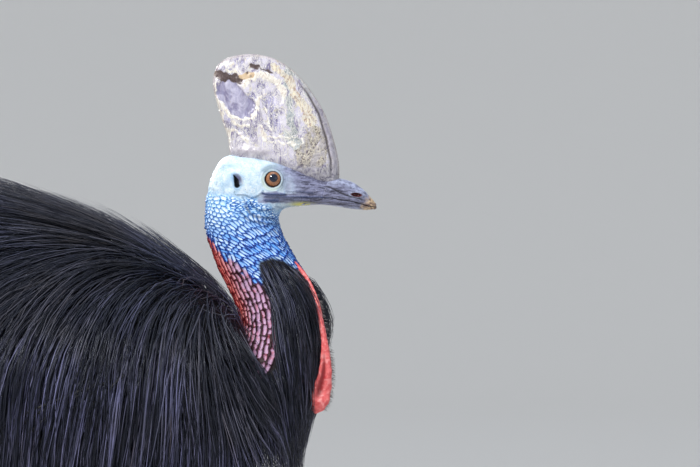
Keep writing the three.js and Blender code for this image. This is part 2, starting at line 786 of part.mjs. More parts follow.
// A toe lies flat on its pads, with stepped scutes along its top
function toeFrame([, degrees, outwards, length, radius, claw], side) {
  const turn = degToRad(degrees) * side;
  const way = point(Math.cos(turn), Math.sin(turn), 0);
  const root = point(FOOT_JOINT[0] + strideOf(side), side * (FOOT_Y + outwards), 0);
  return { way, across: point(-way.y, way.x, 0), root, length, radius, claw };
}
function footRound(side, reach) {
  const geometry = new THREE.CylinderGeometry(reach, reach, 200, 12);
  geometry.rotateX(Math.PI / 2);
  geometry.translate(FOOT_JOINT[0] + strideOf(side), side * FOOT_Y, 0);
  return solid(geometry);
}
function toeSolid(toe, side, grow = 0) {
  const { way, across, root, length, radius } = toeFrame(toe, side);
  const scutes = 4;
  const section = (reach, step) => {
    const share = reach / length;
    const r = radius * (1 - 0.38 * share) + 1.6 * Math.cos(share * 3 * 2 * Math.PI) + grow;
    const high = 1.75 * r + 14 * Math.exp(-(((reach + 4) / 26) ** 2));
    const centre = root.clone().addScaledVector(way, reach);
    return ring(centre, across, Z, r, high / 2, 8, 2.8).map((p) => {
      const up = p.z + high / 2;
      p.z = up < 0.1 * high ? 0 : up + (up > 0.8 * high ? step : 0);
      return p;
    });
  };
  const rings = [section(-16, 0)];
  for (let i = 0; i < scutes; i++) {
    const from = 10 + ((length - 14) * i) / scutes;
    rings.push(section(from, 1.6));
    rings.push(section(from + ((length - 14) / scutes) * 0.9, 0));
  }
  rings.push(section(length, -1));
  return solid(loft(rings));
}
function clawSolid(toe, side) {
  const { way, across, root, length, radius, claw } = toeFrame(toe, side);
  const start = radius * 0.62;
  const rings = evenly(0, 0.88, 4).map((share) => {
    const r = start * (1 - share) ** 0.75;
    const centre = root.clone().addScaledVector(way, length - 5 + claw * share);
    centre.z = Math.max(start * 1.1 * (1 - share) + 3 * Math.sin(share * Math.PI), r);
    return ring(centre, across, Z, r * 0.72, r, 6);
  });
  const tip = root.clone().addScaledVector(way, length - 5 + claw);
  rings.push([tip.setZ(1.2)]);
  return solid(loft(rings));
}

// Wing: a short arm against the side, with bare quills that curve back and down over the coat
function wing(side, grow = 0) {
  const arm = through(ARM);
  const pieces = [limb(armRows(side), 4, 8, grow)];
  for (let i = 0; i < QUILL.count; i++) {
    const [x, y, z] = arm(2 - i * 0.3);
    const rows = [[x + 6, side * (y - 3), z, QUILL.half]];
    const at = point(x, side * y, z);
    const length = QUILL.long + QUILL.longer * i;
    for (const share of [0.25, 0.5, 0.75, 1]) {
      const steep = 0.28 + 0.09 * i + 0.75 * share;
      const step = 0.26 * length;
      at.add(point(-Math.cos(steep) * step, 0, -Math.sin(steep) * step));
      const near = offTorso(at);
      at.addScaledVector(near.out, COAT + QUILL.over - near.distance);
      rows.push([...at.toArray(), QUILL.half * (1.1 - 0.65 * share)]);
    }
    pieces.push(limb(rows, 4, 4, grow));
  }
  return joined(pieces);
}

// Putting it together: every node is cut clear of what it grows from
const neckGrown = neckFlesh(0, NECK.length - 1, 16, GAP);
const ends = neckGrown.add(tailGrown);
const thighs = {};
const limbs = [];
for (const [name, side] of Object.entries(SIDES)) {
  thighs[name] = thighLocks(side);
  limbs.push(thighFlesh(side, GAP), coatOf(thighs[name], GAP), wing(side, GAP));
}
const limbsGrown = joined(limbs);
const torso = torsoCore.add(coatOf(torsoLocks).subtract(limbsGrown)).subtract(ends);
const torsoGrown = coreGrown.add(coatOf(torsoLocks, GAP).subtract(limbsGrown));
add("torso", torso, "#16151a", 0.55);
add("tail", tailCore.add(coatOf(tailLocks)), "#16151a", 0.55);

const headGrown = headFlesh(GAP);
const wattlesGrown = joined(Object.values(SIDES).map((side) => wattle(side, GAP)));
const nape = welts();
const upperEnd = neckFrame(NECK_CUT).centre;
const cutWay = neckFrame(NECK_CUT).way.toArray();
const cutAt = upperEnd.dot(neckFrame(NECK_CUT).way);
const bareNeck = neckFlesh(0, NECK.length - 1, 16);
const upperNeck = bareNeck.add(nape).trimByPlane(cutWay.map((c) => -c), -cutAt + GAP / 2);
const dressing = nape.add(coatOf(ruff).subtract(wattlesGrown)).subtract(torsoGrown);
const lowerNeck = bareNeck.add(dressing).trimByPlane(cutWay, cutAt + GAP / 2);
add("neck_upper", upperNeck.subtract(headGrown), "#2f62c8", 0.6);
add("neck_lower", lowerNeck, "#a6475a", 0.6);
add("head", head(), "#b9d3dc", 0.6);
add("bill_upper", upperBill(), "#55536a", 0.4);
add("bill_lower", lowerBill(), "#4a485c", 0.4);
add("casque", casque().subtract(headGrown), "#b5a793", 0.45);

for (const [name, side] of Object.entries(SIDES)) {
  add(`eye_${name}`, ball(EYE.x, side * EYE.y, EYE.z, EYE.r, EYE.r, EYE.r), "#8a4f22", 0.1);
  add(`wattle_${name}`, wattle(side).subtract(neckGrown), "#d8606a", 0.6);
  add(`wing_${name}`, wing(side).subtract(coreGrown), "#101013", 0.5);
  const thigh = thighFlesh(side).add(coatOf(thighs[name]));
  add(`thigh_${name}`, thigh.subtract(coreGrown).subtract(wing(side, GAP)), "#16151a", 0.55);
  const thighGrown = thighFlesh(side, GAP).add(coatOf(thighs[name], GAP));
  const bone = shank(side);
  add(`shin_${name}`, shin(side).subtract(thighGrown).subtract(bone), "#6d6a60", 0.6);
  const toes = TOES.map((toe) => toeSolid(toe, side));
  const roots = toes.map((toe) => toe.intersect(footRound(side, FOOT_REACH)));
  add(`tarsus_${name}`, joined([bone, ...roots]), "#6d6a60", 0.6);
  TOES.forEach((toe, i) => {
    const own = toes[i].subtract(footRound(side, FOOT_REACH + GAP));
    add(`toe_${toe[0]}_${name}`, own, "#6d6a60", 0.6);
    const claw = clawSolid(toe, side).subtract(toeSolid(toe, side, GAP));
    add(`claw_${toe[0]}_${name}`, claw, "#1c1a19", 0.35);
  });
}

// The origin is the middle of the bird's box, on the floor
const box = new THREE.Box3().setFromObject(bird, true);
const middle = box.getCenter(new THREE.Vector3());
bird.position.set(-middle.x, -middle.y, -box.min.z);

const group = new THREE.Group();
group.add(bird);
export default group;
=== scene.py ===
import math

import bpy
import numpy as np
from mathutils.kdtree import KDTree
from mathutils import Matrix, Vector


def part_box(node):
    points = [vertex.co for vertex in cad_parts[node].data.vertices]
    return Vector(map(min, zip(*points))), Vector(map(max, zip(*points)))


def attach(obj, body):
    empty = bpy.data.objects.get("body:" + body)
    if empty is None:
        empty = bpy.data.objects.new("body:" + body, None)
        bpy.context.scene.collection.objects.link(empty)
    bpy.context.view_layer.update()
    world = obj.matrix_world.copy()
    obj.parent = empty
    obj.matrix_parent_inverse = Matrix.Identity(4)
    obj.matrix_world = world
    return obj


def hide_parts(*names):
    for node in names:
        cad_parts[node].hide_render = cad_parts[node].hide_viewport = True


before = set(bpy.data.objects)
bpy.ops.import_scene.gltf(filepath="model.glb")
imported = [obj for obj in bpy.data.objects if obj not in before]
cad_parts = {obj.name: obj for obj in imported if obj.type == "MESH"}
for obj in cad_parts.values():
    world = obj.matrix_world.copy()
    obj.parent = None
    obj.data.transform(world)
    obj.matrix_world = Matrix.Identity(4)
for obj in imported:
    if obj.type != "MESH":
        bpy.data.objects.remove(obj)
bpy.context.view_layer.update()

# The skin
# One hide over skull, neck, body, legs and feet. It is bare and beaded on the head and neck, thin under
# the coat, where it is painted near black as the shade among the feathers, and horny on shanks and toes.
# It is grown as a field round the flesh and meshed.
# Lengths are millimetres, x the way the bird faces, y its left, z up; placed() sets them in the frame.
EYE_IN_PLAN = (0.458, -0.0175, 1.032)
eye_low, eye_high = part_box("eye_right")
SET_DOWN = np.array((eye_low + eye_high) / 2) - np.array(EYE_IN_PLAN)
HEAD_GRID, BODY_GRID, LEG_GRID = 0.88, 8.0, 2.3
# Flesh of the body: x, top, bottom, half width
TORSO = [
    [-412, 800, 765, 12], [-380, 836, 728, 74], [-310, 896, 698, 124], [-220, 953, 662, 160],
    [-110, 995, 636, 180], [0, 1008, 624, 184], [110, 999, 614, 180], [230, 965, 606, 166],
    [330, 921, 612, 142], [390, 884, 636, 112], [432, 838, 672, 72], [456, 780, 728, 14],
]
TORSO_POWER = 2.3
# Neck from the skull to the breast: x, z, half depth, half width
NECK = [
    [424, 1004, 44, 31], [421, 980, 45, 35], [430, 948, 44, 37], [447, 914, 45, 40],
    [464, 878, 48, 46], [468, 834, 52, 53], [452, 786, 60, 64], [410, 738, 74, 82],
    [350, 708, 80, 90],
]
# Skull and bill: x, top, bottom, half width
HEAD = [
    [379, 1022, 1006, 6], [385, 1040, 989, 17], [396, 1057, 982, 25], [412, 1063, 980, 30],
    [431, 1062, 984, 31], [449, 1058, 991, 29.5], [467, 1054, 996, 26.5], [486, 1049, 999, 22],
    [502, 1042, 1000.5, 19], [519, 1035.5, 1001, 16.5], [540, 1033.5, 998.5, 14],
    [556, 1029, 996, 12], [569, 1020.5, 994.6, 9], [580, 1009, 995.2, 5.5],
    [586.5, 1001, 996.8, 2],
]
# Line of the mouth: x, z
MOUTH = [[444, 1011.6], [470, 1011.2], [524, 1010.2], [540, 1007.4], [556, 1005], [570, 1001.2],
         [581, 998.6], [600, 998.4]]
EYE, EYE_R = [459.3, 16.8, 1032.8], 13.4
EAR_TOP, EAR_LOW, EAR_FOLD = (411.2, 1037.0), (415.4, 1025.0), (416.4, 1032.6)
# Legs with the foot under the body: x, y, z, radius; each leg then stands a stride ahead or behind
HIP, KNEE, DRUM, CUFF = [-20, 92, 800, 94], [90, 108, 728, 76], [28, 112, 584, 56], [-42, 106, 466, 29]
SHIN, ANKLE, FOOT = [-42, 106, 466, 22], [-82, 102, 372, 25], [0, 98, 46, 24]
STRIDE = 35
# Toes: degrees outwards, root's place outwards, length, radius at the root, length of the claw
TOES = {"inner": (-27, -17, 86, 15.5, 96), "middle": (2, 0, 140, 18, 44), "outer": (30, 17, 102, 15, 34)}
SIDES = {"right": -1, "left": 1}
SHANK_SCUTES, TOE_SCUTE = 17, 7.2


def placed(points):
    return np.asarray(points, float) * 0.001 + SET_DOWN


def ease(low, high, value):
    """0 at low and 1 at high, with a soft rise between them; low may be the larger one."""
    t = np.clip((value - low) / (high - low), 0, 1)
    return t * t * (3 - 2 * t)


def bell(value, width):
    return np.exp(-((value / width) ** 2))


def circle(count):
    return np.linspace(0, 2 * math.pi, count, endpoint=False)


def through(rows, place):
    """A smooth curve through rows of numbers, read at places counted in rows."""
    rows = np.asarray(rows, float)
    place = np.asarray(place, float)
    i = np.clip(np.floor(place).astype(int), 0, len(rows) - 2)
    t = (place - i)[..., None]
    a, b = rows[i], rows[i + 1]
    out = (b - rows[np.maximum(i - 1, 0)]) / np.where(i > 0, 2, 1)[..., None]
    into = (rows[np.minimum(i + 2, len(rows) - 1)] - a) / np.where(i + 2 < len(rows), 2, 1)[..., None]
    return (a * (1 + 2 * t) * (1 - t) ** 2 + out * t * (1 - t) ** 2
            + b * t * t * (3 - 2 * t) + into * t * t * (t - 1))


def along(rows, value):
    """The same, read at values of the first column."""
    line = through(rows, np.linspace(0, len(rows) - 1, 900))
    return [np.interp(value, line[:, 0], line[:, c]).astype(np.float32) for c in range(1, line.shape[1])]


def mouth_at(x):
    return along(MOUTH, x)[0]


def noise(p, size, seed):
    """Soft noise from -1 to 1 in cells of one size, the same on every run."""
    q = np.asarray(p, float) / size
    cell = np.floor(q).astype(np.int64)
    f = q - cell
    f = f * f * (3 - 2 * f)
    total = 0
    for corner in range(8):
        step = np.array([corner & 1, corner >> 1 & 1, corner >> 2 & 1])
        at = cell + step
        n = at[..., 0] * 73856093 ^ at[..., 1] * 19349663 ^ at[..., 2] * 83492791 ^ (seed * 668265263)
        n = ((n ^ n >> 13) * 1274126177) & 0xFFFFFFFF
        share = np.prod(np.where(step, f, 1 - f), axis=-1)
        total = total + share * (((n ^ n >> 16) & 0xFFFF) / 32767.5 - 1)
    return total


def melted(a, b, k):
    """Two fields joined, with a fillet about k wide."""
    h = np.clip(0.5 + 0.5 * (b - a) / k, 0, 1)
    return b + (a - b) * h - k * h * (1 - h)


def carved(a, b, k):
    """The field a with the inside of b cut out."""
    return -melted(-a, b, k)


def section(y, z, middle, tall, half, power):
    level = (np.abs(y / half) ** power + np.abs((z - middle) / tall) ** power) ** (1 / power)
    return (level - 1) * np.minimum(tall, half)


def capsules(x, y, z, rows, places):
    """A limb as a close row of balls along a curve."""
    field = np.full(np.broadcast(x, y, z).shape, 1e3, np.float32)
    for cx, cy, cz, r in through(rows, places):
        field = np.minimum(field, np.sqrt((x - cx) ** 2 + (y - cy) ** 2 + (z - cz) ** 2) - r)
    return field


NECK_LINE = through(NECK, np.linspace(0, 6.6, 140))
NECK_WAY = np.gradient(NECK_LINE[:, :2], axis=0)
NECK_WALK = np.cumsum(np.linalg.norm(NECK_WAY, axis=1))
NECK_WAY /= np.linalg.norm(NECK_WAY, axis=1)[:, None]


def neck_at(x, z):
    """The nearest place on the neck's middle line: how far down the neck it is, how far the point lies ahead of
    it and past it, and the neck's half depth and half width there."""
    best = np.full(np.shape(x), 1e9)
    nearest = np.zeros(np.shape(x), int)
    for i, (cx, cz) in enumerate(NECK_LINE[:, :2]):
        far = (x - cx) ** 2 + (z - cz) ** 2
        closer = far < best
        best = np.where(closer, far, best)
        nearest = np.where(closer, i, nearest)
    dx, dz = x - NECK_LINE[nearest, 0], z - NECK_LINE[nearest, 1]
    wx, wz = NECK_WAY[nearest].T if dx.ndim == 1 else np.moveaxis(NECK_WAY[nearest], -1, 0)
    ahead, past = -dx * wz + dz * wx, dx * wx + dz * wz
    return NECK_WALK[nearest], ahead, past, NECK_LINE[nearest, 2], NECK_LINE[nearest, 3]


def head_field(x, y, z, shrink=0):
    top, bottom, half = along(HEAD, x)
    tall = np.maximum((top - bottom) / 2 - shrink, 1)
    middle = (top + bottom) / 2
    brow = 0.9 * bell(x - 456, 26) * (z > middle)
    field = section(y, z, middle, tall, np.maximum(half - shrink, 1), 2.2 + brow)
    over = np.maximum(HEAD[0][0] + 1 - x, x - HEAD[-1][0] + 1)
    return np.where(over > 0, np.hypot(np.maximum(field, 0), over), field)


def surface(field, low, step):
    """The skin of a field on a grid: a point in each cell it runs through, and a quad that faces outwards over each
    edge it crosses."""
    inside = field < 0
    size = np.array(field.shape) - 1
    part = lambda grid, i, j, k: grid[i:size[0] + i, j:size[1] + j, k:size[2] + k]
    corners = [(i, j, k) for i in (0, 1) for j in (0, 1) for k in (0, 1)]
    count = sum(part(inside, *c).astype(np.int8) for c in corners)
    cells = np.argwhere((count > 0) & (count < 8))
    index = np.full(size, -1, np.int64)
    index[tuple(cells.T)] = np.arange(len(cells))
    total, hits = np.zeros((len(cells), 3)), np.zeros((len(cells), 1))
    for a in corners:
        for axis in range(3):
            if a[axis]:
                continue
            b = np.array(a) + np.eye(3, dtype=int)[axis]
            fa, fb = field[tuple((cells + a).T)], field[tuple((cells + b).T)]
            crosses = (fa < 0) != (fb < 0)
            t = np.where(crosses, fa / np.where(crosses, fa - fb, 1), 0)[:, None]
            total += np.where(crosses[:, None], a + t * (b - a), 0)
            hits += crosses[:, None]
    points = np.array(low) + (cells + total / hits) * step
    quads = []
    for axis in range(3):
        u, v = np.eye(3, dtype=int)[(axis + 1) % 3], np.eye(3, dtype=int)[(axis + 2) % 3]
        ends = [slice(1, -1)] * 3
        ends[axis] = slice(0, -1)
        here = inside[tuple(ends)]
        ends[axis] = slice(1, None)
        there = inside[tuple(ends)]
        at = np.argwhere(here != there) + 1 - np.eye(3, dtype=int)[axis]
        look = lambda shift: index[tuple((at - shift).T)]
        quad = np.stack([look(0 * u), look(u), look(u + v), look(v)], 1)
        turned = there[tuple((at - 1 + np.eye(3, dtype=int)[axis]).T)]
        quad[turned] = quad[turned][:, ::-1]
        quads.append(quad)
    return points, np.concatenate(quads)


def grown(field_of, low, high, step):
    axes = [np.arange(low[c], high[c], step) for c in range(3)]
    x, y, z = np.meshgrid(*axes, indexing="ij", sparse=True)
    return surface(field_of(x, y, z).astype(np.float32), low, step)


def normals_of(points, faces):
    a, b, c = points[faces[:, 0]], points[faces[:, 1]], points[faces[:, 2]]
    d = points[faces[:, -1]]
    flat = np.cross(c - a, d - b) if faces.shape[1] == 4 else np.cross(b - a, c - a)
    out = np.zeros_like(points)
    for column in faces.T:
        for axis in range(3):
            out[:, axis] += np.bincount(column, flat[:, axis], len(points))
    return out / np.maximum(np.linalg.norm(out, axis=1), 1e-9)[:, None]


def shown(name, data):
    made = bpy.data.objects.new(name, data)
    bpy.context.scene.collection.objects.link(made)
    return made


def mesh_piece(name, points, faces, masks=None):
    """A mesh object from arrays of points in millimetres and faces of three or four corners."""
    mesh = bpy.data.meshes.new(name)
    groups = [faces] if isinstance(faces, np.ndarray) else faces
    loops = np.concatenate([group.ravel() for group in groups])
    sizes = np.concatenate([np.full(len(group), group.shape[1]) for group in groups])
    mesh.vertices.add(len(points))
    mesh.vertices.foreach_set("co", placed(points).astype(np.float32).ravel())
    mesh.loops.add(len(loops))
    mesh.loops.foreach_set("vertex_index", loops.astype(np.int32))
    mesh.polygons.add(len(sizes))
    mesh.polygons.foreach_set("loop_start", (np.cumsum(sizes) - sizes).astype(np.int32))
    mesh.polygons.foreach_set("use_smooth", np.full(len(sizes), True))
    for mask, values in (masks or {}).items():
        mesh.attributes.new(mask, "FLOAT", "POINT").data.foreach_set("value", values.astype(np.float32))
    mesh.update(calc_edges=True)
    mesh.validate()
    return shown(name, mesh)


def tube(rings, first, last):
    """Rings of points joined into a skin, closed by a fan to one point at each end, with its faces turned out."""
    long, count = rings.shape[:2]
    points = np.concatenate([rings.reshape(-1, 3), [first, last]])
    i, j = np.meshgrid(np.arange(long - 1), np.arange(count), indexing="ij")
    here, beside = i * count + j, i * count + (j + 1) % count
    faces = np.stack([here, beside, beside + count, here + count], -1).reshape(-1, 4)
    start, end, turned = np.arange(count), (long - 1) * count + np.arange(count), np.roll(np.arange(count), -1)
    fans = [np.stack([turned, start, np.full(count, len(points) - 2)], 1),
            np.stack([end, np.roll(end, -1), np.full(count, len(points) - 1)], 1)]
    a, b, c, d = (points[column] for column in faces.T)
    outwards = np.sum((a - points.mean(0)) * np.cross(c - a, d - b)) > 0
    return points, [group if outwards else group[:, ::-1] for group in (faces, *fans)]


def off_stroke(x, z, start, end):
    """Seen from the side, the distance from a straight stroke, and the share of the stroke that is nearest."""
    (x0, z0), (x1, z1) = start, end
    share = np.clip(((x - x0) * (x1 - x0) + (z - z0) * (z1 - z0)) / ((x1 - x0) ** 2 + (z1 - z0) ** 2), 0, 1)
    return np.hypot(x - x0 - share * (x1 - x0), z - z0 - share * (z1 - z0)), share


def near_line(x, z, points):
    return np.min([off_stroke(x, z, *ends)[0] for ends in zip(points, points[1:])], axis=0)


def ear_hole(x, z):
    """A slot that widens downwards."""
    away, share = off_stroke(x, z, EAR_TOP, EAR_LOW)
    return away - 0.9 - 2.4 * share


def head_and_neck(x, y, z):
    side = np.abs(y)
    flat_x, flat_z = np.broadcast_arrays(x[:, 0, :], z[:, 0, :])
    walk, ahead, past, deep, wide = (part[:, None, :].astype(np.float32) for part in neck_at(flat_x, flat_z))
    neck = (np.sqrt((ahead / deep) ** 2 + (y / wide) ** 2) - 1) * np.minimum(deep, wide)
    ended = ((walk <= NECK_WALK[0]) | (walk >= NECK_WALK[-1])) & (np.abs(past) > 1.5)
    neck = np.where(ended, np.hypot(np.maximum(neck, 0), np.abs(past)), neck)
    field = melted(head_field(x, y, z, 1.4 * ease(500, 530, x)), neck, 9)
    jowl = np.sqrt(((x - 436) / 1.5) ** 2 + ((side - 16) / 0.9) ** 2 + (z - 996) ** 2) - 13
    field = melted(field, jowl, 6)
    opening = np.hypot((x - EYE[0]) / 1.09, (z - EYE[2] + 0.25) * (1 + 0.12 * (z > EYE[2]))) - 9.2
    field = carved(field, np.maximum(opening, 19 - side), 0.8)
    lid = np.hypot(np.hypot(x - EYE[0] + 0.5, z - EYE[2] + 0.8) - 11.2, side - EYE[1] - 9.6) - 1.7
    field = melted(field, np.maximum(lid, 12 - side), 1.2)
    field = np.maximum(field, EYE_R + 0.15 - np.sqrt((x - EYE[0]) ** 2 + (side - EYE[1]) ** 2 + (z - EYE[2]) ** 2))
    field = carved(field, np.maximum(ear_hole(x, z), 22.5 - side), 1.4)
    return np.maximum(field, x - 534)


def thigh_line(side):
    return [[cx - side * STRIDE * i / 3, side * cy, cz, r]
            for i, (cx, cy, cz, r) in enumerate((HIP, KNEE, DRUM, CUFF))]


def body_field(x, y, z):
    top, bottom, half = along(TORSO, x)
    torso = section(y, z, (top + bottom) / 2, (top - bottom) / 2, half, TORSO_POWER)
    over = np.maximum(TORSO[0][0] + 2 - x, x - TORSO[-1][0] + 2)
    field = np.where(over > 0, np.hypot(np.maximum(torso, 0), over), torso)
    for side in SIDES.values():
        field = melted(field, capsules(x, y, z, thigh_line(side), np.linspace(0, 3, 22)), 25)
    return field


def toe_place(x, y, toe):
    """How far out along a toe of the left foot a point is, and how far to its side."""
    turn, y = math.radians(TOES[toe][0]), y - FOOT[1] - TOES[toe][1]
    return x * math.cos(turn) + y * math.sin(turn), -x * math.sin(turn) + y * math.cos(turn)


def toe_field(x, y, z, toe):
    _, _, length, radius, _ = TOES[toe]
    reach, side = toe_place(x, y, toe)
    share = np.clip(reach / length, -0.1, 1)
    joints = np.cos(share * 3 * 2 * math.pi)
    r = radius * (1 - 0.38 * share) + 1.5 * joints
    tall = (1.75 * r + 14 * bell(reach + 4, 26)) / 2 + 0.6 * joints
    field = (np.sqrt((side / r) ** 2 + (np.abs(z - tall) / tall) ** 2) - 1) * np.minimum(r, tall)
    over = np.maximum(-16 - reach, reach - length + 2)
    return np.where(over > 0, np.hypot(np.maximum(field, 0), over), field)


def leg_field(x, y, z):
    top, foot = np.array(ANKLE[:3], float), np.array(FOOT[:3], float)
    way = (foot - top) / np.linalg.norm(foot - top)
    length = np.linalg.norm(foot - top)
    walk = (x - top[0]) * way[0] + (y - top[1]) * way[1] + (z - top[2]) * way[2]
    share = np.clip(walk, -14, length) / length
    cx, cy, cz = (top[c] + way[c] * share * length for c in range(3))
    front = np.cross(way, [0, 1, 0])
    front /= -np.linalg.norm(front)
    ahead = (x - cx) * front[0] + (z - cz) * front[2]
    knob = 9 * np.exp(-((share * length) ** 2) / 900)
    end = 5 * np.exp(-(((1 - share) * length) ** 2) / 1600)
    deep, wide = 19 + knob + end, 16 + 0.7 * knob + end
    level = np.sqrt((ahead / deep) ** 2 + ((y - cy) / wide) ** 2)
    past = np.maximum(-14 - walk, walk - length)
    bone = np.where(past > 0, np.hypot(np.maximum((level - 1) * wide, 0), past - 8), (level - 1) * wide)
    shin = capsules(x, y, z, [DRUM, SHIN, ANKLE], np.linspace(0.55, 2, 24))
    field = melted(bone, shin, 12)
    for toe in TOES:
        field = melted(field, toe_field(x, y, z, toe), 7)
    return np.maximum(field, 0.0 - z)


def pebbles(u, v, seed, loose):
    """Uneven rounded cells, one to each unit of u and v: their height over the gaps, more at the lower edge, and
    each cell's own number."""
    near, second, own, above = np.full(len(u), 9.0), np.full(len(u), 9.0), np.zeros(len(u)), np.zeros(len(u))
    for down in (-1, 0, 1):
        row = np.floor(v) + down
        for beside in (-1, 0, 1):
            column = np.floor(u - 0.5 * (row % 2)) + beside
            lot = np.sin(column * 78.233 + row * 37.719 + seed) * 43758.5453 % 1
            up = v - row - 0.5 - loose * (2 * (lot * 57.31 % 1) - 1)
            far = np.hypot(u - column - 0.5 - 0.5 * (row % 2) - loose * (2 * lot - 1), up)
            closer = far < near
            second = np.where(closer, near, np.minimum(second, far))
            own, above = np.where(closer, lot, own), np.where(closer, up, above)
            near = np.where(closer, far, near)
    return np.clip((second - near) / 0.7, 0, 1) ** 0.5 * (1 - 0.5 * above), own


def beads(u, v, half, seed):
    """Upright rows of long rounded beads, one row to each unit of u and one bead to each unit of v."""
    row = np.floor(u)
    slid = v + 7.3 * (np.sin(row * 12.99 + seed) * 43758.5453 % 1)
    slid = slid + 0.18 * np.sin(slid * 4.3 + row)
    bead = np.floor(slid)
    own = np.sin(bead * 78.233 + row * 37.719 + seed) * 43758.5453 % 1
    other = own * 57.31 % 1
    up = slid - bead - 0.5
    aside = u - row - 0.5 + 0.16 * (other - 0.5) + 0.35 * (own - 0.5) * up
    level = np.abs(aside / (half * (0.78 + 0.36 * own))) ** 2.3 + np.abs(up / 0.485) ** 3.2
    return np.sqrt(np.maximum(1 - level, 0)), own


def blood_line(x):
    """Where the blue of the neck gives way to red."""
    return np.interp(x, [380, 384, 396, 408, 421, 430, 440, 447], [960, 952, 939, 930, 921, 913, 905, 903])


# Creases of the cheek, gape and throat seen from the side: depth, width, then points x and z
CREASES = [
    [1.1, 1.3, (415.5, 1013.8), (423.7, 1013.1), (431.9, 1010.4), (437.3, 1011), (442.8, 1014.5), (447, 1018)],
    [1.9, 1.5, (445, 1015.6), (452, 1014), (463, 1014.6), (474, 1014.2)],
    [1.7, 2.4, (449.5, 1007), (457, 1006.4), (465, 1007.2)],
    [0.8, 1.1, (474, 1017.5), (490, 1017), (508, 1015.4)],
    [1.0, 1.2, (421, 1010), (424.5, 1004), (428, 999)],
    [1.3, 1.4, (431, 1004.5), (435, 999), (441, 994.8), (451, 994.4), (459, 997)],
    [2.0, 1.7, (426, 999), (430, 992.5), (436, 987.6), (446, 985.6), (458, 984.2)],
    [1.4, 1.5, (419.6, 992), (429, 982.6), (440, 980), (451, 977.6), (463, 978.6)],
    [0.9, 1.4, (462, 1000), (470, 997.4), (480, 999.5)],
]


def ruff_edge(z):
    return np.interp(z, [700, 740, 780, 798, 815, 835, 859, 884, 905, 920, 931],
                     [392, 402, 440, 455, 464, 467, 463, 455, 446, 443, 441])


def ruff_top(x):
    return np.interp(x, [438, 441, 458, 471, 487, 500], [905, 931, 936, 933, 923, 915])


def over_edge(x, z):
    """Height over the edge where the smooth skin of the skull meets the beads of the neck."""
    return z - np.interp(x, [375, 390, 404, 420, 436, 446, 457, 480, 500],
                         [1016, 1012, 1010, 1009, 1008, 1003, 996, 988, 985])


head_points, head_faces = grown(head_and_neck, (372, -80, 690), (540, 80.5, 1068), HEAD_GRID)
into = -normals_of(head_points, head_faces)
x, y, z = head_points.T
side = np.abs(y)
walk, ahead, past, deep, wide = neck_at(x, z)
angle = np.arctan2(side / wide, ahead / deep)
round_neck = (math.pi - angle) * (deep + wide) / 2
drift = [noise(head_points, size, seed) for size, seed in ((9, 1), (14, 2), (7, 3))]
flecked = noise(head_points * [0.5, 1, 1.4], 2.2, 4)
arch = -0.0085 * np.clip(round_neck - 17, -17, 62) ** 2 - 0.75 * np.maximum(round_neck - 79, 0)
skull = ease(-7, 7, over_edge(x, z) + 3.5 * drift[1] + 2 * drift[2])
# Blue pebbles in rows that rise towards the nape, and long red fingers that break up into beads
blue_bumps, blue_own = pebbles((round_neck + 2.2 * drift[0]) / 7.7, (z - arch + 2.4 * drift[1]) / 4.5, 1, 0.25)
lane = ((math.pi - angle) * 46 + 1.4 * drift[1] + 0.8 * drift[2]) / 6.4
beaded = ease(12, 24, round_neck + 3 * drift[1])
finger_bumps, finger_own = beads(lane, (walk + 3 * drift[0]) / 18, 0.46, 2)
bead_bumps, bead_own = beads(lane, (walk + 3 * drift[0]) / 12, 0.40, 5)
red_bumps, red_own = finger_bumps * (1 - beaded) + bead_bumps * beaded, np.where(beaded > 0.5, bead_own, finger_own)
finger = ease(-4, 4, blood_line(x) + 9 * red_own + 3 - z)
blood = ease(-2, 2, blood_line(x) + 9 * (red_own - 0.5) * finger + 1.5 * drift[2] - z)
bumps = blue_bumps * (1 - finger) + red_bumps * finger
own = np.where(finger > 0.5, red_own, blue_own)
rise = ((2.3 + 2.0 * ease(18, 5, round_neck)) * (1 - finger) + 3.0 * finger) * (0.7 + 0.45 * own)
rise *= (bumps - 0.6) * (1 - skull)
# The relief dies out on throat and skull, and starts again as lumps on the nape and grooves on the lores
throat = ease(440, 470, x) * ease(968, 984, z)
rise *= 1 - 0.6 * np.maximum(throat, ease(-26, -8, over_edge(x, z)) * ease(396, 412, x))
nape_lumps = ease(20, 6, round_neck) * ease(1050, 1030, z)
rise += skull * (0.35 * drift[2] + 0.28 * noise(head_points, 2.4, 8) + 1.5 * nape_lumps * (blue_bumps - 0.5))
lores = ease(466, 478, x) * skull
rise += lores * 0.5 * noise(head_points * [0.35, 1, 1.6], 3.0, 9)
creases = np.zeros(len(x))
for depth, width, *points in CREASES:
    creases = np.maximum(creases, depth * bell(near_line(x + 0.8 * drift[2], z + 0.8 * drift[0], points), width))
mouth = 1.4 * bell(z - mouth_at(x), 0.9) * ease(443, 450, x)
creases = np.maximum(creases, mouth) * ease(5, 11, side)
rise -= creases
ruffed = ease(-3, 3, x - ruff_edge(z) + 2 * drift[2]) * ease(-3, 3, ruff_top(x) - z)
coated = np.maximum(ruffed, ease(400, 380, x) * (z < 880))
rise *= 1 - coated
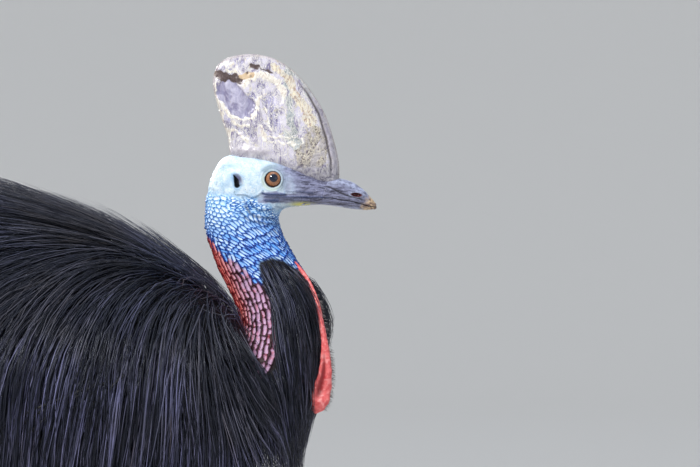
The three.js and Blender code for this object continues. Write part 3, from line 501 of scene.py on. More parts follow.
# Rings of folds round the eye, and a fold behind the ear
near_eye = np.where(side > 10, np.hypot(x - EYE[0] + 0.4, z - EYE[2] + 0.7), 99)
eye_turn = np.sin(np.arctan2(z - EYE[2], x - EYE[0]) + 0.75)
rise -= 0.8 * bell(near_eye - 14.4, 1.1) + 0.35 * bell(near_eye - 17.5, 1.2)
rise *= ease(10.5, 13.2, near_eye)
ear = np.where(side > 15, ear_hole(x, z), 99)
fold = np.where(side > 15, np.hypot((x - EAR_FOLD[0]) / 4.6, (z - EAR_FOLD[1] + 0.5 * (x - EAR_FOLD[0])) / 5.2), 9)
rise += 1.3 * bell(fold - 0.3, 0.45) - 1.0 * bell(fold - 1.15, 0.22)
head_points += into * rise[:, None]
mouth_gap = z - mouth_at(x)


def dusk_of(x, z, gap):
    """How far the pale skin has turned into the dark grey of the bill."""
    lip = ease(-10.5, -7, gap) * ease(7.5, 4, gap + 0.06 * (x - 444)) * ease(441, 449, x)
    lores = ease(458, 498, x + 0.35 * (z - 1020)) * ease(-16, -8, gap + 0.1 * (x - 500))
    return np.clip(np.maximum(0.85 * lip, lores), 0, 1)


head_masks = {
    "crest": bumps * (1 - skull) + 0.5 * skull,
    "own": own,
    "blood": blood,
    "skull": skull,
    "pale": np.clip(0.8 * ease(948, 1014, z - 0.1 * (x - 420)) + 0.7 * ease(-24, -2, over_edge(x, z)), 0, 1),
    "small": ease(-26, -8, over_edge(x, z) + 4 * drift[1]) * ease(396, 412, x) * (1 - skull),
    "shade": np.clip(0.45 * ease(10, 0, over_edge(x, z)) + 0.5 * ease(0.1, 0.9, drift[0]) + 0.8 * bell(ear - 1.2, 1.8)
                     + 0.6 * bell(z - 1048.5, 2.6) * bell(x - 405, 12), 0, 1),
    "socket": np.clip(1.1 * bell(near_eye - 15.0, 3.6) * ease(-0.75, 0.25, eye_turn)
                      + 0.8 * bell(near_eye - 12.2, 1.0) * ease(-0.5, 0.4, eye_turn), 0, 1),
    "slate": np.exp(-((fold / 1.15) ** 4)),
    "pink": ease(14, 42, round_neck),
    "crease": np.clip(creases / 1.6, 0, 1),
    "lid": bell(near_eye - 11.9 - 0.6 * ease(0, -1, eye_turn), 1.1 + 0.9 * ease(0, -1, eye_turn)),
    "rim": ease(10.6, 10.0, near_eye),
    "ear": ease(0.9, -0.5, ear),
    "dusk": dusk_of(x + 5 * drift[2] + 2.2 * flecked, z, mouth_gap + 1.3 * flecked + 1.2 * drift[2]) * (z > 985),
    "yellow": bell(x - 493, 13) * bell(z - 1001.5, 2.6),
    "wet": ease(0.55, 0.95, bumps) * (1 - skull),
    "coated": coated,
    "horny": np.zeros(len(x)),
}

body_points, body_faces = grown(body_field, (-425, -196, 440), (470, 197, 1020), BODY_GRID)
body_masks = {"coated": np.ones(len(body_points))}

# The left leg, with a column of scutes down the shank's front and along the toes, and small scales round them
leg_points, leg_faces = grown(leg_field, (-125, 50, -4), (165, 185, 500), LEG_GRID)
into = -normals_of(leg_points, leg_faces)
x, y, z = leg_points.T
top, foot = np.array(ANKLE[:3], float), np.array(FOOT[:3], float)
way = (foot - top) / np.linalg.norm(foot - top)
walk = (leg_points - top) @ way
ahead = (leg_points - top - walk[:, None] * way) @ [math.cos(0.25), 0, math.sin(0.25)]
scute_row = walk / np.linalg.norm(foot - top) * SHANK_SCUTES
front = ease(-2, 8, ahead) * ease(-6, 4, walk) * ease(322, 300, walk)
steps = 1.6 * (1 - (scute_row % 1) ** 3) * ease(0, 0.12, scute_row % 1)
small, small_own = pebbles(np.arctan2(y - 100, x + 41 - 0.25 * (372 - z)) * 21 / 7.5, z / 6.5, 3, 0.2)
rise = front * steps + (1 - front) * 0.8 * small * ease(470, 440, z)
crest = front * steps / 1.6 + (1 - front) * small
for toe, (_, _, _, radius, _) in TOES.items():
    reach, aside = toe_place(x, y, toe)
    upper = ease(radius + 5, radius, np.abs(aside)) * ease(14, 26, reach) * ease(0.25, 0.6, into[:, 2])
    row = reach / TOE_SCUTE
    toe_step = (1 - (row % 1) ** 3) * ease(0, 0.15, row % 1)
    rise = rise * (1 - upper) + 1.3 * toe_step * upper
    crest = crest * (1 - upper) + toe_step * upper
rise *= ease(0.5, 3, z)
leg_points += into * rise[:, None]
leg_points[:, 2] = np.maximum(leg_points[:, 2], 0)
leg_masks = {"crest": crest, "own": small_own, "horny": np.ones(len(x)), "coated": ease(440, 462, z)}

hides = [(head_points, head_faces, head_masks), (body_points, body_faces, body_masks)]
for side in SIDES.values():
    hides.append((leg_points * [1, side, 1] - [side * STRIDE, 0, 0], leg_faces[:, ::side], leg_masks))
starts = np.cumsum([0] + [len(points) for points, _, _ in hides])
skin = mesh_piece("skin", np.concatenate([points for points, _, _ in hides]),
                  np.concatenate([faces + start for (_, faces, _), start in zip(hides, starts)]), {
    name: np.concatenate([masks.get(name, np.zeros(len(points))) for points, _, masks in hides])
    for name in head_masks
})


def wired(kind, *values, **settings):
    """A node in the tree at hand, fed with the values in the order of its inputs; gives its first output."""
    made = tree.nodes.new("ShaderNode" + kind)
    for name, value in settings.items():
        setattr(made, name, value)
    for socket, value in zip(made.inputs, values):
        if isinstance(value, bpy.types.NodeSocket):
            tree.links.new(value, socket)
        elif value is not None:
            socket.default_value = value
    return made.outputs[0]


def mask(name):
    """A mask that the mesh carries at its points."""
    return wired("Attribute", attribute_name=name).node.outputs["Fac"]


def own_place():
    return tree.nodes.new("ShaderNodeTexCoord").outputs["Object"]


def drawn_out(tilt, scale):
    """Places on the piece, tilted about y and scaled by x, y and z, so that a texture runs one way."""
    return wired("Mapping", own_place(), (0, 0, 0), (0, tilt, 0), scale)


def maths(operation, a, b=0.0, c=0.0):
    return wired("Math", a, b, c, operation=operation)


def laid(share, under, over):
    """The colour under, covered by the colour over where share is 1."""
    made = tree.nodes.new("ShaderNodeMix")
    made.data_type = "RGBA"
    for socket, value in zip([made.inputs[0], made.inputs[6], made.inputs[7]], (share, under, over)):
        if isinstance(value, bpy.types.NodeSocket):
            tree.links.new(value, socket)
        else:
            socket.default_value = (*value, 1) if isinstance(value, tuple) else value
    return made.outputs[2]


def ranged(value, low, high, to_low=0.0, to_high=1.0):
    return wired("MapRange", value, low, high, to_low, to_high)


def blend(value, low, high, first, second):
    """The first colour where value is low, the second where it is high."""
    return laid(ranged(value, low, high), first, second)


def spots(scale, detail=4.0, rough=0.55):
    return wired("TexNoise", own_place(), None, scale, detail, rough)


def fed(value, socket):
    tree.links.new(value, shader.inputs[socket])


def material(name, **plain):
    """A new material, its tree and its shader; the nodes made next go into that tree."""
    made = bpy.data.materials.new(name)
    made.use_nodes = True
    shader = made.node_tree.nodes["Principled BSDF"]
    for socket, value in plain.items():
        shader.inputs[socket.replace("_", " ")].default_value = value
    return made, made.node_tree, shader


def node_group(name, numbers, results):
    """A new node group with its inputs and outputs; the nodes made next go into it."""
    made = bpy.data.node_groups.new(name, "ShaderNodeTree")
    for socket, value in numbers.items():
        made.interface.new_socket(socket, in_out="INPUT", socket_type="NodeSocketFloat").default_value = value
    for socket, kind in results.items():
        made.interface.new_socket(socket, in_out="OUTPUT", socket_type="NodeSocket" + kind)
    return made, made.nodes.new("NodeGroupInput").outputs, made.nodes.new("NodeGroupOutput").inputs


# Fine wandering grain: a value from 0 to 1, and a height with finer spots in it
GRAIN, given, result = node_group("grain", {"Coarse": 90.0, "Fine": 700.0}, {"Value": "Float", "Height": "Float"})
tree = GRAIN
coarse = spots(given["Coarse"])
tree.links.new(coarse, result["Value"])
tree.links.new(maths("MULTIPLY_ADD", spots(given["Fine"]), 0.5, maths("MULTIPLY", coarse, 0.5)), result["Height"])

# The dark purple grey horn of the bill, which runs back over the lores: streaked along x, paler with the lift
DUSKY, given, result = node_group("dusky_horn", {"Lift": 0.0}, {"Color": "Color", "Height": "Float"})
tree = DUSKY
streaks = wired("TexNoise", drawn_out(-0.12, (0.3, 1.0, 1.9)), None, 230.0, 6.0, 0.62)
flecks = spots(620.0, 5.0, 0.7)
dark = blend(streaks, 0.38, 0.62, (0.026, 0.025, 0.050), (0.225, 0.235, 0.370))
lifted = laid(ranged(flecks, 0.52, 0.72, 0.0, 0.75), dark, (0.36, 0.38, 0.52))
tree.links.new(laid(given["Lift"], lifted, (0.40, 0.45, 0.64)), result["Color"])
tree.links.new(maths("MULTIPLY_ADD", flecks, 0.6, streaks), result["Height"])


def grain(coarse, fine):
    return wired("Group", coarse, fine, node_tree=GRAIN).node.outputs


def dusky(lift):
    return wired("Group", lift, node_tree=DUSKY).node.outputs


def bump(height, strength, distance):
    made = wired("Bump", strength, distance)
    tree.links.new(height, made.node.inputs["Height"])
    fed(made, "Normal")


hide, tree, shader = material("bird_skin", Specular_IOR_Level=0.28, Coat_Weight=0.06, Coat_Roughness=0.25)
value, height = grain(170.0, 950.0)
own_tint, pink = mask("own"), mask("pink")
flecks = spots(520.0, 3.0, 0.7)
small_cells = wired("TexVoronoi", drawn_out(0.25, (0.5, 1.0, 1.35)), None, 300.0, feature="DISTANCE_TO_EDGE")
worms = maths("MULTIPLY_ADD", ranged(small_cells, 0.02, 0.32), 0.8, maths("MULTIPLY", spots(60.0, 3.0), 0.25))
crest = wired("Mix", mask("small"), None, mask("crest"), worms)
crest = maths("ADD", crest, maths("MULTIPLY_ADD", flecks, 0.9, -0.45))
pale_highlit_tops = ranged(crest, 0.52, 0.84)
# Blue, deep and saturated low on the neck, pale towards the skull; the grooves between the pebbles are painted dark
# as shade, and the whitish tops are partly pale skin and partly painted highlight
low_blue = blend(crest, 0.30, 0.70, (0.0010, 0.010, 0.13), (0.022, 0.16, 0.70))
low_blue = laid(pale_highlit_tops, low_blue, laid(own_tint, (0.14, 0.40, 0.88), (0.62, 0.80, 0.96)))
high_blue = blend(crest, 0.18, 0.52, (0.004, 0.045, 0.30), (0.19, 0.47, 0.84))
high_blue = blend(crest, 0.46, 0.82, high_blue, laid(own_tint, (0.54, 0.74, 0.92), (0.86, 0.92, 0.95)))
blue = laid(mask("pale"), low_blue, high_blue)
# The face's pale blue grey, with painted shade round the eye on its front and upper side, and the shade mask
# darkening it behind the ear, near the beaded neck and in soft patches
face = blend(value, 0.3, 0.62, (0.66, 0.75, 0.83), (0.47, 0.62, 0.75))
face = laid(ranged(flecks, 0.52, 0.70, 0.0, 0.8), face, (0.74, 0.80, 0.84))
face = laid(ranged(flecks, 0.44, 0.30, 0.0, 0.55), face, (0.24, 0.44, 0.66))
face = laid(mask("shade"), face, (0.26, 0.42, 0.60))
socket = mask("socket")
face = laid(maths("MULTIPLY", socket, 0.85), face, laid(flecks, (0.10, 0.15, 0.20), (0.30, 0.40, 0.47)))
face = laid(mask("slate"), face, laid(value, (0.05, 0.055, 0.12), (0.17, 0.18, 0.31)))
# Red fingers at the edge of the blue, which turn into lilac beads; the gaps between them are painted dark maroon to
# near black as shade, and their paler tops are partly own colour and partly painted highlight
red = laid(pink, laid(own_tint, (0.68, 0.075, 0.060), (0.84, 0.24, 0.21)),
           laid(own_tint, (0.30, 0.060, 0.10), (0.40, 0.25, 0.42)))
red = laid(pale_highlit_tops, red, laid(pink, (0.88, 0.36, 0.32), (0.56, 0.38, 0.56)))
red = laid(ranged(value, 0.5, 0.75, 0.0, 0.6), red, (0.50, 0.035, 0.050))
red = blend(crest, 0.15, 0.65, laid(pink, (0.14, 0.004, 0.008), (0.020, 0.002, 0.006)), red)
colour = laid(mask("blood"), laid(mask("skull"), blue, face), red)
# Lores, gape, creases, lids, ear, and the horn of the legs
dusk = mask("dusk")
horn_grey, _ = dusky(ranged(dusk, 1.0, 0.3))
colour = blend(dusk, 0.1, 0.75, colour, horn_grey)
colour = laid(mask("yellow"), colour, (0.70, 0.66, 0.14))
# Painted shade: the creases of cheek, gape and throat are coloured dark blue.
crease = maths("MULTIPLY", mask("crease"), ranged(flecks, 0.35, 0.6, 0.95, 0.55))
colour = laid(crease, colour, (0.006, 0.030, 0.12))
lid = maths("SUBTRACT", mask("lid"), maths("MULTIPLY", socket, 0.7))
colour = laid(lid, colour, laid(flecks, (0.62, 0.74, 0.68), (0.40, 0.50, 0.46)))
# Painted shade: the lid's edge where it turns into the eye opening, and the ear opening, are coloured near black.
colour = laid(mask("rim"), colour, (0.008, 0.008, 0.012))
colour = laid(mask("ear"), colour, (0.006, 0.006, 0.010))
horn = blend(crest, 0.2, 0.8, (0.030, 0.026, 0.022), (0.17, 0.155, 0.13))
horn = blend(value, 0.35, 0.7, horn, (0.10, 0.095, 0.085))
colour = laid(mask("horny"), colour, horn)
# Painted shade: under the coat the skin is coloured near black, as the shade among the feathers.
fed(laid(mask("coated"), colour, (0.008, 0.0075, 0.010)), "Base Color")
fed(maths("MULTIPLY_ADD", mask("wet"), -0.16, ranged(height, 0.3, 0.7, 0.44, 0.62)), "Roughness")
bump(maths("MULTIPLY_ADD", flecks, 0.8, height), 0.55, 0.0009)
skin.data.materials.append(hide)
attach(skin, "root")
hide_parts("head", "neck_upper", "neck_lower", "torso", "tail",
            *(f"{part}_{side}" for side in SIDES for part in
              ("thigh", "shin", "tarsus", "toe_inner", "toe_middle", "toe_outer")))

# The casque
# A tall helmet of horn on the crown, thin as a blade along its rim, mottled lilac, cream and brown.
# It is lofted from its outline, with the groove behind the front keel and the roll at its rear foot.
CASQUE = [
    [412, 1045], [406, 1062], [403.5, 1083], [396, 1106], [388, 1133], [385, 1150], [387.5, 1166],
    [397, 1178], [413, 1184.5], [437, 1186], [462, 1180], [486, 1164], [507, 1139], [523, 1112],
    [533, 1083], [539.5, 1055], [540, 1033], [534, 1024],
]
CASQUE_MIDDLE = np.array([465, 1085])
CASQUE_THICK, CASQUE_THIN, CASQUE_RIM = 21, 9.5, 1.1  # half widths: low down, near the top, at the rim
rim = through(CASQUE, np.linspace(0, len(CASQUE) - 1, 240))
rim = np.concatenate([rim, np.linspace(rim[-1], rim[0], 60)[1:-1]])
shares = np.sin(np.linspace(0.004, 1, 62) * math.pi / 2)
rings = []
for side in (-1, 1):
    for share in shares[:-1] if side < 0 else shares[::-1]:
        at = CASQUE_MIDDLE + (rim - CASQUE_MIDDLE) * share
        thick = CASQUE_THICK + (CASQUE_THIN - CASQUE_THICK) * ease(1040, 1175, at[:, 1])
        half = CASQUE_RIM + (thick - CASQUE_RIM) * np.sqrt(np.maximum(1 - share ** 3.2, 0))
        rings.append(np.stack([at[:, 0], side * half, at[:, 1]], 1))
points, groups = tube(np.array(rings), rings[0].mean(0), rings[-1].mean(0))
x, y, z = points.T
wander = [noise(points, size, seed) for size, seed in ((16, 20), (16, 24), (7, 25), (3.4, 26))]
wx = x + 2.4 * wander[0] + 2.0 * wander[2] + 1.2 * wander[3]
wz = z + 2.4 * wander[1] - 2.0 * wander[3] + 1.6 * wander[2]

# The markings seen from the side, each drawn as strokes: half the width of the stroke, then its points
MARKS = {
    "cream": [
        (1.3, (401, 1172.5), (411.5, 1164), (419.5, 1158.5)), (1.0, (407, 1176.5), (415, 1168), (422, 1161)),
        (3.7, (424, 1150), (430, 1156.5), (438, 1159.5), (451, 1158.5), (461.5, 1152), (468.5, 1145), (471, 1137)),
        (2.2, (389.5, 1140), (394.5, 1122.5), (404.5, 1110.5), (415, 1105), (429, 1108.5), (437.5, 1111)),
        (1.9, (437.5, 1111), (438.5, 1120.5), (439.5, 1130.5), (448, 1135.5)), (3.0, (445.5, 1097), (448.5, 1080)),
        (1.2, (473, 1141), (470.5, 1122), (475.5, 1113)), (1.0, (450.5, 1122), (452.5, 1104), (455, 1088)),
        (1.7, (388, 1150), (390, 1135), (394.5, 1112), (400, 1094), (405.5, 1078)),
        (1.6, (409, 1102), (420, 1097.5), (432, 1101)), (1.5, (403, 1094), (418, 1086), (427, 1080)),
        (1.0, (453, 1083.5), (466, 1081), (480, 1084)), (0.9, (455, 1077.5), (470, 1076), (484, 1078)),
        (0.8, *((489.4 + 6 * math.cos(a), 1079 + 6 * math.sin(a)) for a in np.linspace(0, 2 * math.pi, 13))),
        (0.7, *((502.4 + 3 * math.cos(a), 1076.5 + 3 * math.sin(a)) for a in np.linspace(0, 2 * math.pi, 9))),
    ],
    "deep": [
        (4.2, (414, 1177.5), (420, 1174)), (4.6, (442, 1147.5), (444, 1143.5)), (3.8, (430, 1137), (436, 1136)),
        (8.5, (454, 1130), (459, 1108), (463, 1096)), (2.6, (423.5, 1087.5), (434.5, 1087)),
        (3.2, (401.5, 1107.5), (405.5, 1105.5)), (5.5, (410, 1097), (430, 1093)), (2.6, (395, 1172), (408, 1166.5)),
    ],
    "teal": [
        (3.8, (474, 1151.5), (480.5, 1139.5), (477.5, 1122.5), (482.5, 1105), (486, 1092)),
        (5.5, (479, 1169), (496.5, 1153.5), (507, 1136)), (6.5, (478, 1086), (492, 1073)),
    ],
    "gold": [
        (5.0, (460, 1171), (474, 1160), (484, 1142)), (6.8, (486, 1137), (499, 1117), (506, 1102)),
        (4.0, (508, 1100), (512, 1090)),
    ],
    "tan": [(4.0, (419.5, 1158), (425, 1159.5), (432, 1161))],
    "brown": [
        (7.0, (393.5, 1160.5), (400, 1159)), (5.6, (400, 1159), (409, 1156.5)), (3.2, (409, 1156.5), (418.5, 1153.5)),
        (3.0, (434.5, 1173.5), (440, 1170.5)), (1.2, (439, 1170.5), (448, 1167.5), (457, 1162)),
        (1.3, (428, 1163.5), (428.3, 1162.5)),
    ],
    "dent": [(15, (403.5, 1139.5), (421.5, 1121.5))],
    "grainy": [(14, (512, 1084), (512, 1060)), (9, (497, 1066), (497, 1056))],
}
marks = {
    kind: np.max([ease(half + 1.9, half - 1.9, near_line(wx, wz, line)) for half, *line in strokes], axis=0)
    for kind, strokes in MARKS.items()
}

rim_x = np.interp(z, [1024, 1033, 1055, 1083, 1112, 1139, 1164, 1180, 1186],
                  [534, 540, 539.5, 533, 523, 507, 486, 462, 437])
from_front = rim_x - x
keel = ease(1168, 1128, z) * ease(1028, 1042, z)
groove = keel * bell(from_front - 9.5 + 3 * ease(1060, 1150, z), 1.5)
lip = keel * bell(from_front - 4.5, 3.2)
roll = ease(402, 410, x) * ease(462, 446, x) * bell(z - 1067.5 + 0.06 * (x - 405), 5.2)
front_boss = np.exp(-(((x - 514) / 16) ** 2 + ((z - 1050) / 18) ** 2))
rise = (-1.6 * groove + 0.9 * lip + 1.8 * front_boss + 1.9 * roll - 2.4 * marks["dent"] - 1.2 * marks["brown"]
        + 0.6 * marks["cream"] - 0.5 * marks["deep"] + 0.8 * wander[0] + 0.4 * wander[2]
        + (0.2 + 0.6 * marks["grainy"]) * noise(points, 2.3, 23)
        + 0.5 * marks["grainy"] * np.abs(noise(points, 6, 27)))
points = points + np.stack([0 * x, np.sign(y) * rise * ease(1.1, 4, np.abs(y)), 0 * x], 1)
casque = mesh_piece("casque", points, groups, {
    **marks, "groove": groove, "lip": lip, "roll": roll, "foot": ease(1062, 1046, z + 0.12 * (x - 470)),
    "rim": ease(0.955, 0.995, np.append(np.repeat(np.append(shares[:-1], shares[::-1]), len(rim)), [0, 0])),
})
helmet, tree, shader = material("casque_horn", Coat_Weight=0.55, Coat_Roughness=0.24, Specular_IOR_Level=0.5)
value, height = grain(150.0, 720.0)
upright = drawn_out(0.3, (1.5, 1.0, 0.8))
cloud = wired("TexNoise", upright, None, 44.0, 7.0, 0.62, 2.2, None, None, 1.6)
curl = wired("TexNoise", upright, None, 64.0, 6.0, 0.56, 2.1, None, None, 3.2)
rays = wired("TexNoise", drawn_out(0.12, (3.4, 1.0, 0.5)), None, 95.0, 5.0, 0.6)


def contour(field, times, low, high):
    """Thin lines where the field crosses even steps."""
    step = maths("SUBTRACT", maths("FRACT", maths("MULTIPLY", field, times)), 0.5)
    return ranged(maths("ABSOLUTE", step), low, high)


def edged(kind, ragged=1.7):
    """A marking whose soft edge is broken up by the grain."""
    rough = maths("MULTIPLY_ADD", maths("SUBTRACT", value, 0.5), ragged, mask(kind))
    rough = maths("MULTIPLY_ADD", maths("SUBTRACT", curl, 0.5), 1.5 * ragged, rough)
    return ranged(rough, 0.34, 0.66)


vein, thread = contour(cloud, 7.0, 0.15, 0.04), contour(curl, 5.0, 0.15, 0.04)
colour = blend(cloud, 0.41, 0.57, (0.19, 0.165, 0.28), (0.58, 0.55, 0.67))
colour = blend(curl, 0.56, 0.66, colour, (0.72, 0.69, 0.72))
colour = laid(ranged(value, 0.55, 0.75, 0.0, 0.5), colour, (0.24, 0.21, 0.31))
deep_lilac = blend(rays, 0.40, 0.60, (0.125, 0.11, 0.23), (0.42, 0.40, 0.58))
colour = laid(edged("deep"), colour, deep_lilac)
teal = blend(rays, 0.40, 0.58, (0.20, 0.23, 0.25), (0.50, 0.54, 0.56))
colour = laid(edged("teal"), colour, teal)
gold = blend(curl, 0.40, 0.58, (0.36, 0.25, 0.18), (0.78, 0.70, 0.52))
gold = laid(ranged(value, 0.50, 0.66, 0.0, 0.7), gold, (0.54, 0.52, 0.46))
colour = laid(edged("gold"), colour, gold)
colour = laid(maths("MULTIPLY", thread, 0.9), colour, (0.86, 0.83, 0.80))
colour = laid(maths("MULTIPLY", vein, 0.8), colour, (0.90, 0.87, 0.80))
cream = blend(curl, 0.38, 0.52, (0.58, 0.50, 0.44), (0.90, 0.86, 0.78))
colour = laid(edged("cream"), colour, cream)
colour = laid(edged("tan", 0.9), colour, laid(value, (0.80, 0.66, 0.46), (0.44, 0.26, 0.12)))
smooth = blend(cloud, 0.42, 0.62, (0.21, 0.19, 0.32), (0.54, 0.52, 0.66))
smooth = laid(ranged(rays, 0.42, 0.62, 0.0, 0.5), smooth, (0.30, 0.30, 0.46))
colour = laid(edged("dent", 0.8), colour, smooth)
gravel = wired("TexVoronoi", own_place(), None, 230.0, feature="DISTANCE_TO_EDGE")
speck = blend(gravel, 0.02, 0.2, (0.50, 0.44, 0.34), (0.085, 0.062, 0.055))
speck = laid(thread, speck, (0.78, 0.72, 0.58))
speck = blend(cloud, 0.52, 0.6, speck, (0.40, 0.37, 0.38))
colour = laid(maths("MULTIPLY", edged("grainy"), 0.85), colour, speck)
grey_roll = blend(value, 0.35, 0.65, (0.32, 0.29, 0.35), (0.58, 0.55, 0.60))
colour = laid(mask("roll"), colour, grey_roll)
colour = laid(edged("brown", 0.8), colour, laid(value, (0.016, 0.009, 0.012), (0.15, 0.095, 0.09)))
keel_grey = blend(value, 0.4, 0.7, (0.20, 0.18, 0.23), (0.50, 0.48, 0.54))
colour = laid(maths("MULTIPLY", mask("lip"), 0.8), colour, keel_grey)
# Painted shade: the groove behind the keel is coloured near black.
colour = laid(mask("groove"), colour, (0.050, 0.038, 0.042))
foot_grey = blend(curl, 0.4, 0.6, (0.11, 0.105, 0.15), (0.44, 0.43, 0.48))
colour = laid(maths("MULTIPLY", mask("foot"), 0.7), colour, foot_grey)
colour = laid(maths("MULTIPLY", mask("rim"), 0.5), colour, (0.34, 0.27, 0.23))
fed(colour, "Base Color")
fed(ranged(curl, 0.3, 0.7, 0.20, 0.42), "Roughness")
relief = maths("MULTIPLY_ADD", vein, 0.4, maths("MULTIPLY_ADD", thread, 0.5, height))
pits = maths("MULTIPLY", ranged(gravel, 0.0, 0.3), mask("grainy"))
bump(maths("SUBTRACT", relief, pits), 0.6, 0.0011)
casque.data.materials.append(helmet)
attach(casque, "root")
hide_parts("casque")

# The bill
# Two horn sheaths over the jaws, dark purple grey with a paler nail at the tip. Both are cut from the
# shape of the head along the line of the mouth; the upper one holds the nostrils and a long groove.
NOSTRIL, BILL_GRID = [561.5, 11.0, 1013.2], 0.7


def bill_groove(x, z, width):
    """The long groove from the bill's root past the nostril: 1 in its middle."""
    middle = np.interp(x, [519, 530, 542, 552, 562, 572], [1024, 1022, 1015.5, 1011.6, 1009.2, 1006.4])
    return bell(z - middle, width) * ease(519, 528, x) * ease(574, 566, x)


def nostril_at(x, y, z):
    """0 on the nostril's rim, less inside."""
    return np.sqrt(((x - NOSTRIL[0]) / 5.6) ** 2 + ((np.abs(y) - NOSTRIL[1] - 1) / 4.5) ** 2
                   + ((z - NOSTRIL[2] + 0.10 * (x - NOSTRIL[0])) / 2.1) ** 2) - 1


def upper_horn(x, y, z):
    field = np.maximum(head_field(x, y, z), mouth_at(x) + 0.15 - z)
    field = np.maximum(field, 519 + 0.35 * (z - 1010) - x)
    shelf = np.sqrt(((x - 560) / 13) ** 2 + ((np.abs(y) - 7.5) / 5) ** 2 + ((z - 1012.5) / 6.5) ** 2) - 1
    field = melted(field, shelf * 5, 2.5)
    hook = np.sqrt((x - 583.6) ** 2 + (y / 0.9) ** 2 + (z - 997.6) ** 2) - 2.5
    field = melted(field, hook, 2.5)
    field = carved(field, nostril_at(x, y, z) * 2.3, 0.9)
    return field + bill_groove(x, z, 1.2)


def lower_horn(x, y, z):
    field = np.maximum(head_field(x, y, z), z - mouth_at(x) + 0.15)
    field = np.maximum(field, 492 + 0.3 * (1005 - z) - x)
    groove = bell(z - np.interp(x, [492, 540, 570], [1004.8, 1001.8, 998.5]), 0.9)
    return field + 0.55 * groove * ease(574, 566, x) * ease(496, 512, x)


horn, tree, shader = material("bill_horn", Coat_Weight=0.2, Coat_Roughness=0.22)
value, height = grain(190.0, 800.0)
# The lift pales the horn along the top of the upper bill and round the nostril's rim, partly pale horn and partly
# painted highlight; on the lower bill it pales a band along the lower edge.
lift = maths("MULTIPLY", mask("ridge"), ranged(value, 0.35, 0.65))
horn_grey, horn_height = dusky(lift)
nail = blend(value, 0.42, 0.6, (0.60, 0.44, 0.27), (0.16, 0.10, 0.08))
colour = laid(mask("nail"), horn_grey, nail)
# Painted shade: the groove past the nostril and the line of the mouth are coloured near black, and the inside of the
# nostril dark red.
colour = laid(mask("line"), colour, (0.010, 0.009, 0.018))
colour = laid(mask("hole"), colour, (0.060, 0.006, 0.010))
fed(colour, "Base Color")
fed(ranged(height, 0.3, 0.7, 0.26, 0.44), "Roughness")
bump(horn_height, 0.5, 0.0008)
for name, field, low, high in (
    ("bill_upper", upper_horn, (512, -21, 990), (592, 21.5, 1042)),
    ("bill_lower", lower_horn, (486, -24, 988), (590, 24.5, 1014)),
):
    upper = name == "bill_upper"
    points, faces = grown(field, low, high, BILL_GRID)
    x, y, z = points.T
    into = -normals_of(points, faces)
    tip = ease(560, 574, x)
    wrinkle = 0.28 * noise(points * [0.3, 1, 1.5], 2.6, 32) + 0.22 * noise(points, 2.0, 33)
    nearest = nostril_at(x, y, z)
    inside = ease(0.5, 0.1, nearest) * (np.abs(z - NOSTRIL[2]) < 4) * upper
    points = points + into * (wrinkle * (1 - inside) * (1 + 0.8 * tip))[:, None]
    top, _, _ = along(HEAD, x)
    lines = np.maximum(bill_groove(x, z, 1.0) * upper, bell(z - mouth_at(x), 0.7))
    piece = mesh_piece(name, points, faces, {
        "ridge": np.maximum(ease(13, 2, top - z), bell(nearest - 0.5, 0.4)) * upper
        + (1 - upper) * ease(2.0, 0.5, z - np.interp(x, [492, 540, 580], [1001, 998.5, 996])),
        "nail": ease(565, 577, x + 0.7 * (1002 - z) + 4 * noise(points, 4, 34)),
        "line": lines * (1 - inside),
        "hole": inside,
    })
    piece.data.materials.append(horn)
    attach(piece, "root")
    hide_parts(name)

# The eyes
# Wet balls set deep in the skull behind the lids, with an amber iris round a dark pupil.
# Each is one ball whose front bulges as the cornea does, coloured by the distance from its axis.
ball, tree, shader = material("eye", Roughness=0.12, Coat_Weight=0.4, Coat_Roughness=0.02, Specular_IOR_Level=0.3)
away, from_pupil = mask("away"), mask("from_pupil")
iris = blend(spots(900.0, 3.0, 0.6), 0.35, 0.65, (0.20, 0.075, 0.030), (0.44, 0.21, 0.11))
iris = blend(away, 8.2, 9.3, iris, (0.050, 0.016, 0.008))
iris = laid(ranged(from_pupil, 7.6, 4.6, 0.0, 0.5), iris, (0.12, 0.055, 0.030))
colour = blend(from_pupil, 4.6, 5.5, (0.005, 0.010, 0.026), iris)
fed(blend(away, 9.3, 9.8, colour, (0.010, 0.008, 0.008)), "Base Color")
CORNEA, BEHIND = 0.9, 20  # how far the cornea bulges; a reach past every ring of colour, for the ball's back
turn, tilt = np.meshgrid(circle(56), np.linspace(0.02, math.pi - 0.02, 40))
before = np.cos(tilt) > 0
reach = EYE_R * np.sin(tilt)
across, upright = reach * np.cos(turn), reach * np.sin(turn)
bulge = EYE_R * np.cos(tilt) + CORNEA * bell(reach, 6.5) * before
off_axis = np.append(np.where(before, reach, BEHIND), [0, BEHIND])
off_pupil = np.append(np.where(before, np.hypot(across - 0.6, upright - 1.0), BEHIND), [1.2, BEHIND])
for name, side in SIDES.items():
    rings = np.stack([EYE[0] + across, side * (EYE[1] + bulge), EYE[2] + upright], -1)
    poles = [[EYE[0], side * (EYE[1] + out), EYE[2]] for out in (EYE_R + CORNEA, -EYE_R)]
    eye = mesh_piece(f"eye_{name}", *tube(rings, *poles), {"away": off_axis, "from_pupil": off_pupil})
    eye.data.materials.append(ball)
    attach(eye, "root")
    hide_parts(f"eye_{name}")

